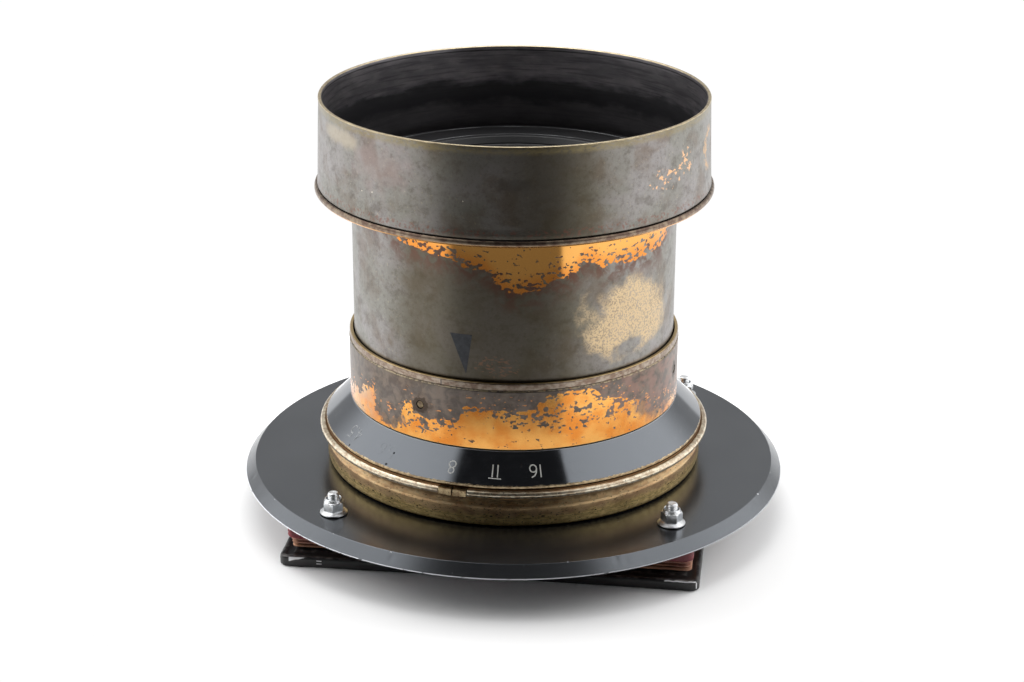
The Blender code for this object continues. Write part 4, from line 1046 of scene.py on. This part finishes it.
def make_main_tube(black):
    """Tube that carries the cells, with its two slots."""
    profile = [(62.5, 13.5, 0.3), (66.0, 13.5, 0.3), (66.0, 56.6), (67.4, 57.6), (67.4, 92.0), (66.0, 93.0),
               (66.0, 114.0, 0.3), (62.5, 114.0, 0.3)]
    pipe = turned("main_tube", profile, black, BOARD, "inside_black")
    play = math.radians(2.6)
    start = math.radians(60 - 34) - play
    sweep = math.radians(76) + 2 * play
    cut(pipe, turn([(60, 48.3), (69, 48.3), (69, 51.7), (60, 51.7)], SMALL_STEPS, start, sweep))
    half_key = 2.8 / 67.4
    key_way = [(65.3, 59), (69, 59), (69, 71), (65.3, 71)]
    cut(pipe, turn(key_way, 4, math.pi / 2 - half_key, 2 * half_key))


def blade_rows():
    """Stations along a crescent blade: angle, inner radius, outer radius and height."""
    span = math.radians(135)
    pad = 3.5
    pad_angle = pad / PIVOT_RADIUS
    taper = math.radians(14)
    crescent_inner = 44.0
    lowest, climb = 42.1, 5.85
    ends = (0.99, 0.93, 0.82, 0.66, 0.45, 0.2)
    angles = [-pad_angle * part for part in ends]
    angles += [span * step / 60 for step in range(61)]
    angles += [span + pad_angle * part for part in reversed(ends)]
    rows = []
    for angle in angles:
        beyond = max(-angle, angle - span, 0.0)
        half_pad = math.sqrt(max(pad ** 2 - (beyond * PIVOT_RADIUS) ** 2, 0.01))
        inside = min(max(min(angle, span - angle) / taper, 0.0), 1.0)
        eased = inside * inside * (3 - 2 * inside)
        inner = PIVOT_RADIUS - half_pad + (crescent_inner - PIVOT_RADIUS + half_pad) * eased
        height = lowest + min(max(angle / span, 0.0), 1.0) * climb
        rows.append((angle, inner, PIVOT_RADIUS + half_pad, height))
    return rows


def make_blades(steel):
    """Twelve crescents of thin steel that climb from their pivots, so that they interleave."""
    thickness = 0.15

    def point(radius, angle, height):
        return (radius * math.cos(angle) - PIVOT_RADIUS, -radius * math.sin(angle), height)

    for number in range(BLADES):
        builder = bmesh.new()
        rows = []
        for angle, inner, outer, low in blade_rows():
            corners = [(inner, low), (outer, low), (outer, low + thickness), (inner, low + thickness)]
            rows.append([builder.verts.new(point(radius, angle, height)) for radius, height in corners])
        for row, following in zip(rows, rows[1:]):
            for side in range(4):
                after = (side + 1) % 4
                builder.faces.new([row[side], row[after], following[after], following[side]])
        builder.faces.new(rows[0])
        builder.faces.new(rows[-1])
        at = TURN * number / BLADES
        pivot = Matrix.Translation((PIVOT_RADIUS * math.cos(at), PIVOT_RADIUS * math.sin(at), 0))
        builder.transform(pivot @ Matrix.Rotation(at - BLADE_REST, 4, "Z"))
        name = f"iris_blade_{number + 1:02d}"
        refine(name, builder, steel, f"{name}_body")


def cone_point(angle, along, proud):
    """A point on the scale cone: degrees round it, millimetres up its slope from the middle."""
    low, top = Vector(CONE_LOW), Vector(CONE_TOP)
    slope = (top - low).normalized()
    outward = Vector((slope.y, -slope.x))
    place = (low + top) / 2 + slope * along + outward * proud
    at = lathe_angle(angle)
    return (place.x * math.cos(at), place.x * math.sin(at), place.y)


def wall_point(radius, angle, height):
    at = lathe_angle(angle)
    return (radius * math.cos(at), radius * math.sin(at), height)


# Strokes of the digits in a box one unit high, standing on 0
STROKES = {
    "1": [[(0.12, 0.0), (0.12, 1.0)]],
    "2": [oval((0.27, 0.72), (0.25, 0.28), 160, -40) + [(0.04, 0.0)], [(0.04, 0.0), (0.54, 0.0)]],
    "4": [[(0.42, 0.0), (0.42, 1.0), (0.02, 0.3), (0.56, 0.3)]],
    "5": [[(0.5, 1.0), (0.12, 1.0), (0.08, 0.58)], oval((0.26, 0.32), (0.27, 0.32), 120, -140)],
    "6": [oval((0.28, 0.29), (0.25, 0.29), 0, 360), [(0.03, 0.32), (0.06, 0.6), (0.18, 0.85), (0.42, 1.0)]],
    "8": [oval((0.27, 0.26), (0.26, 0.26), 0, 360), oval((0.27, 0.76), (0.2, 0.24), 0, 360)],
    ".": [oval((0.08, 0.05), (0.04, 0.04), 0, 360, 6)],
}
WIDTHS = {"1": 0.24, ".": 0.16}
DIGIT_WIDTH = 0.56
DIGIT_GAP = 0.14
# Numbers of the aperture scale, each with its angle
NUMERALS = (("4.5", -59.7), ("5.6", -43.0), ("8", -19.0), ("11", -5.5), ("16", 6.8), ("22", 20.0))


def stroke_solid(builder, points, width, surface, thickness):
    """One pen stroke as a thin solid laid on a surface, given as a function of (x, y, proud)."""
    sides = []
    for index, point in enumerate(points):
        before = Vector(points[max(index - 1, 0)])
        after = Vector(points[min(index + 1, len(points) - 1)])
        across = (after - before).normalized().orthogonal() * width / 2
        centre = Vector(point)
        ring = []
        for edge, proud in ((centre + across, -0.05), (centre + across, thickness),
                            (centre - across, thickness), (centre - across, -0.05)):
            ring.append(builder.verts.new(surface(edge.x, edge.y, proud)))
        sides.append(ring)
    for ring, following in zip(sides, sides[1:]):
        for corner in range(4):
            after = (corner + 1) % 4
            builder.faces.new([ring[corner], ring[after], following[after], following[corner]])
    builder.faces.new(sides[0])
    builder.faces.new(sides[-1])


def make_numerals():
    """Aperture numbers on the cone. Their tops point to the bead, as the engraver set them."""
    tall = 5.6
    pen = 0.5
    middle = 77.9
    low_line = -1.2
    paint = numeral_material()
    for text, angle in NUMERALS:
        def surface(x, y, proud, angle=angle):
            return cone_point(angle - math.degrees(x / middle), low_line - y, proud)

        builder = bmesh.new()
        length = sum(WIDTHS.get(letter, DIGIT_WIDTH) + DIGIT_GAP for letter in text) - DIGIT_GAP
        cursor = -length / 2
        for letter in text:
            for stroke in STROKES[letter]:
                points = [((cursor + x) * tall, (y - 0.5) * tall) for x, y in stroke]
                stroke_solid(builder, points, pen, surface, 0.04)
            cursor += WIDTHS.get(letter, DIGIT_WIDTH) + DIGIT_GAP
        if text == "11":
            bar = [(-2.6, tall * 0.62), (2.6, tall * 0.58)]
            stroke_solid(builder, bar, pen * 0.8, surface, 0.04)
        name = text.replace(".", "_")
        finish_piece(f"scale_numeral_{name}", builder, paint, SCALE)


def make_pointer():
    """Filled triangle on the barrel, and the short index line on the collar's band."""
    paint = pointer_material()
    builder = bmesh.new()
    rows = []
    steps, columns = 12, 7
    top, tall = 102.3, 17.1
    left_top, left_tip = -21.9, -16.4
    right_top, right_tip = -14.1, -16.2
    for step in range(steps + 1):
        share = step / steps
        left = left_top + (left_tip - left_top) * share
        right = right_top + (right_tip - right_top) * share
        row = []
        for proud in (-0.05, 0.05):
            for column in range(columns):
                angle = left + (right - left) * column / (columns - 1)
                place = wall_point(BARREL_RADIUS + proud, angle, top - tall * share)
                row.append(builder.verts.new(place))
        rows.append(row)
    loop = list(range(columns)) + list(range(2 * columns - 1, columns - 1, -1))
    for row, following in zip(rows, rows[1:]):
        for index, first in enumerate(loop):
            second = loop[(index + 1) % len(loop)]
            builder.faces.new([row[first], row[second], following[second], following[first]])
    builder.faces.new([rows[0][index] for index in loop])
    builder.faces.new([rows[-1][index] for index in loop])
    finish_piece("barrel_pointer", builder, paint, FRONT)
    builder = bmesh.new()
    stroke_solid(builder, [(-24.6, 79.5), (-24.6, 81.7)], 0.35,
                 lambda x, y, proud: wall_point(72.4 + proud, x, y), 0.03)
    finish_piece("collar_index_line", builder, paint, BOARD)


def outline(width, depth, corner, along=36):
    """Points round a rectangle with round corners, with many points along its sides."""
    points = []
    for quarter in range(4):
        sign_x = 1 if quarter in (0, 3) else -1
        sign_y = 1 if quarter in (0, 1) else -1
        centre = (sign_x * (width / 2 - corner), sign_y * (depth / 2 - corner))
        first = 90 * quarter
        points += [Vector(point) for point in oval(centre, (corner, corner), first, first + 90, 8)]
    filled = []
    for point, following in zip(points, points[1:] + points[:1]):
        filled.append(point)
        gap = (following - point).length
        if gap > 2 * corner:
            filled += [point.lerp(following, step / along) for step in range(1, along)]
    return filled


def swept(rectangle, section, wobble):
    """Carries a closed section of (inwards, height) round a (width, depth, corner) rectangle.

    The wobble gives how far each point moves outwards and upwards.
    """
    width, depth, corner = rectangle
    builder = bmesh.new()
    rows = []
    for inwards, height in section:
        row = []
        for point in outline(width - 2 * inwards, depth - 2 * inwards, max(corner - inwards, 0.4)):
            out, up = wobble(point, inwards, height)
            reach = point.normalized() * out
            row.append(builder.verts.new((point.x + reach.x, point.y + reach.y, height + up)))
        rows.append(row)
    for row, following in zip(rows, rows[1:] + rows[:1]):
        for index in range(len(row)):
            after = (index + 1) % len(row)
            builder.faces.new([row[index], row[after], following[after], following[index]])
    builder.transform(Matrix.Rotation(REAR_TURN, 4, "Z"))
    return builder


def make_rear_frame():
    """Black rear frame: rounded outer edge, a worn ledge with a shallow step, and its opening."""
    def uneven(point, inwards, height):
        place = Vector((point.x / 14, point.y / 14, inwards))
        lift = 0.16 * noise.noise(place) if height > 3.5 and inwards < 15 else 0.0
        return 0.10 * noise.noise(place + Vector((9, 2, 4))) - 0.12, lift - (0.1 if height > 3.5 else 0)

    section = [(0.7, 0.0), (0.25, 0.12), (0.0, 0.5), (0.0, 3.3), (0.12, 3.8), (0.5, 4.25), (1.1, 4.38),
               (2.2, 4.3), (2.6, 3.95), (5.2, 3.85), (5.6, 4.2), (7.0, 4.35), (16.2, 4.35), (16.6, 4.1),
               (16.65, 0.3), (16.3, 0.0)]
    builder = swept(FRAME_OUTLINE, section, uneven)
    refine("rear_frame", builder, frame_material(), REAR, smooth=60)


def fold_section():
    """Section of the folded leather: four pleats, each a rounded nose outside and a valley inside."""
    low, high, pleats = 4.75, 11.45, 4
    pitch = (high - low) / pleats
    nose = 0.46
    outer, inner = [], []
    for pleat in range(pleats):
        middle = low + (pleat + 0.5) * pitch
        flanks = [(12.0, pitch / 2 - 0.03), (7.0, 0.68), (3.2, 0.55), (1.5, nose)]
        outer += [(inwards, middle - away) for inwards, away in flanks]
        outer += [(0.9 - 0.9 * math.cos(angle), middle + nose * math.sin(angle))
                  for angle in (-1.1, -0.7, -0.3, 0.0, 0.3, 0.7, 1.1)]
        outer += [(inwards, middle + away) for inwards, away in reversed(flanks)]
    for inwards, height in reversed(outer):
        pleat = int((height - low) / pitch)
        middle = low + (min(pleat, pleats - 1) + 0.5) * pitch
        squeeze = 0.45
        inner.append((min(inwards + 0.42, 12.4), middle + (height - middle) * squeeze))
    return outer + inner


def make_bellows():
    """Folded leather bellows, limp and uneven."""
    def limp(point, inwards, height):
        share = max(0.0, 1 - inwards / 12.5)
        place = Vector((point.x / 17, point.y / 17, height * 0.9))
        side = Vector((point.x / 30, point.y / 30, height * 2.3 + 7))
        return share * (0.9 * noise.noise(side) - 0.7), 0.16 * noise.noise(place)

    builder = swept(BELLOWS_OUTLINE, fold_section(), limp)
    obj = finish_piece("leather_bellows", builder, leather_material(), None,
                       ["bellows"], smooth=75)
    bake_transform(obj)


def make_board_binding(leather):
    """Wrinkled strip of red leather glued round the edge of the front board."""
    def wrinkled(point, inwards, height):
        place = Vector((point.x / 6, point.y / 6, height / 2))
        return 0.28 * noise.noise(place) - 0.3, 0.0

    section = [(0.5, 11.95), (-0.5, 12.0), (-0.75, 12.5), (-0.45, 13.3), (-0.7, 14.2), (-0.45, 15.1),
               (-0.65, 15.8), (-0.4, 16.25), (0.5, 16.3)]
    builder = swept(BOARD_OUTLINE, section, wrinkled)
    finish_piece("board_binding", builder, leather, BOARD, smooth=70)


def dress_frame(black, brass, steel, leather):
    """Gives the CAD nodes that keep their own meshes a finish."""
    finishes = {"front_board": leather, "guide_ring": brass, "iris_drive_screw": steel,
                "iris_slot_ring": steel, "iris_base_plate": black, "iris_cover_ring": black}
    for name, material in finishes.items():
        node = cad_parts[name]
        node.data.materials.clear()
        node.data.materials.append(material)


def make_floor():
    """Round pale floor; past its edge the studio is as white as the floor."""
    builder = bmesh.new()
    bmesh.ops.create_circle(builder, cap_ends=True, segments=128, radius=0.215)
    mesh = bpy.data.meshes.new("floor")
    builder.to_mesh(mesh)
    builder.free()
    f = Finish("floor_white")
    f.set(Base_Color=f.mix(f.grain(60, 2), (0.86, 0.86, 0.86), (0.88, 0.88, 0.88)), Roughness=0.9)
    mesh.materials.append(f.material)
    floor = bpy.data.objects.new("floor", mesh)
    floor.location.z = -0.0002
    bpy.context.scene.collection.objects.link(floor)


def make_studio():
    """White studio round the lens, dark only in front, where the photographer stands."""
    world = bpy.data.worlds.new("studio")
    bpy.context.scene.world = world
    world.use_nodes = True
    n = Nodes(world.node_tree)
    n.tree.nodes.clear()
    x, y, z = n.axes(n.add("ShaderNodeTexCoord", {}, "Generated"))
    azimuth = n.math("DEGREES", n.math("ARCTAN2", x, y * -1.0))
    left = z * -7.0 + -49.0
    right = z * 13.0 + 38.0
    past_left = n.step(azimuth - left, -5.0, 5.0)
    before_right = n.step(azimuth - right, 1.5, -1.5)
    gap = past_left * before_right
    sides = n.step(n.math("ABSOLUTE", x), 0.2, 0.9)
    bright = sides * 0.45 + 1.15
    beside = n.inside(n.math("ABSOLUTE", azimuth), 88.0, 130.0, 12.0)
    low_sky = n.step(z, 0.0, 0.06) * n.step(z, 0.75, 0.45) * (1.0 - beside)
    bright = bright * (low_sky * -0.6 + 1.0)
    table = n.step(z, -0.310, -0.330) * 0.24
    near_table = n.step(z, -0.385, -0.405) * 0.34
    level = n.blend(gap, bright, table + near_table + 0.03)
    seen = n.add("ShaderNodeLightPath", {}, "Is Camera Ray")
    level = n.blend(seen, level, 1.02)
    n.make("ShaderNodeOutputWorld", {0: n.add("ShaderNodeBackground", {0: (1.0, 1.0, 1.0), 1: level})})


def make_lamp(name, place, size, power, seen_in_metal):
    """Soft rectangular light aimed at the foot of the lens."""
    lamp = bpy.data.lights.new(name, "AREA")
    lamp.shape = "RECTANGLE"
    lamp.size, lamp.size_y = size
    lamp.energy = power
    obj = bpy.data.objects.new(name, lamp)
    obj.location = place
    obj.rotation_euler = (Vector((0, 0, 0.02)) - obj.location).to_track_quat("-Z", "Y").to_euler()
    obj.visible_glossy = seen_in_metal
    bpy.context.scene.collection.objects.link(obj)


def make_lamps():
    """A bank of light overhead, and one low at each side, a little behind, for the floor."""
    make_lamp("overhead", (-0.15, 0.55, 1.35), (1.3, 0.9), 12.0, True)
    make_lamp("left_side", (-1.0, 0.45, 0.35), (0.9, 0.5), 13.2, False)
    make_lamp("right_side", (1.0, 0.45, 0.35), (0.9, 0.5), 13.2, False)


def make_camera():
    """Camera in front of the lens and above it, with a slight lean."""
    data = bpy.data.cameras.new("camera")
    data.lens = 78.415
    data.sensor_width = 36.0
    data.shift_x = -0.00179
    data.clip_start = 0.01
    camera = bpy.data.objects.new("camera", data)
    down = math.radians(21.264)
    lean = 0.0034
    camera.location = (0.0, -0.92165, 0.43187)
    aim = Matrix.Rotation(math.pi / 2 - down, 3, "X") @ Matrix.Rotation(lean, 3, "Z")
    camera.rotation_euler = aim.to_euler()
    bpy.context.scene.collection.objects.link(camera)
    bpy.context.scene.camera = camera


def main():
    bpy.context.scene.view_settings.view_transform = "Standard"
    make_camera()
    make_studio()
    make_lamps()
    make_floor()
    black = black_metal_material()
    brass = brass_material("turned_brass", (0.46, 0.36, 0.21), (0.22, 0.15, 0.085))
    screw_brass = brass_material("screw_brass", (0.22, 0.17, 0.10), (0.09, 0.065, 0.045), 9.0)
    steel = steel_material()
    leather = red_leather_material()
    make_rear_frame()
    make_bellows()
    make_board_binding(leather)
    make_disc(disc_material())
    make_fasteners()
    make_mount(brass, cone_material())
    make_collar(collar_material(), screw_brass)
    make_main_tube(black)
    make_barrel()
    make_hood()
    make_cells(black)
    make_glass()
    make_blades(steel)
    make_numerals()
    make_pointer()
    dress_frame(black, brass, steel, leather)


main()
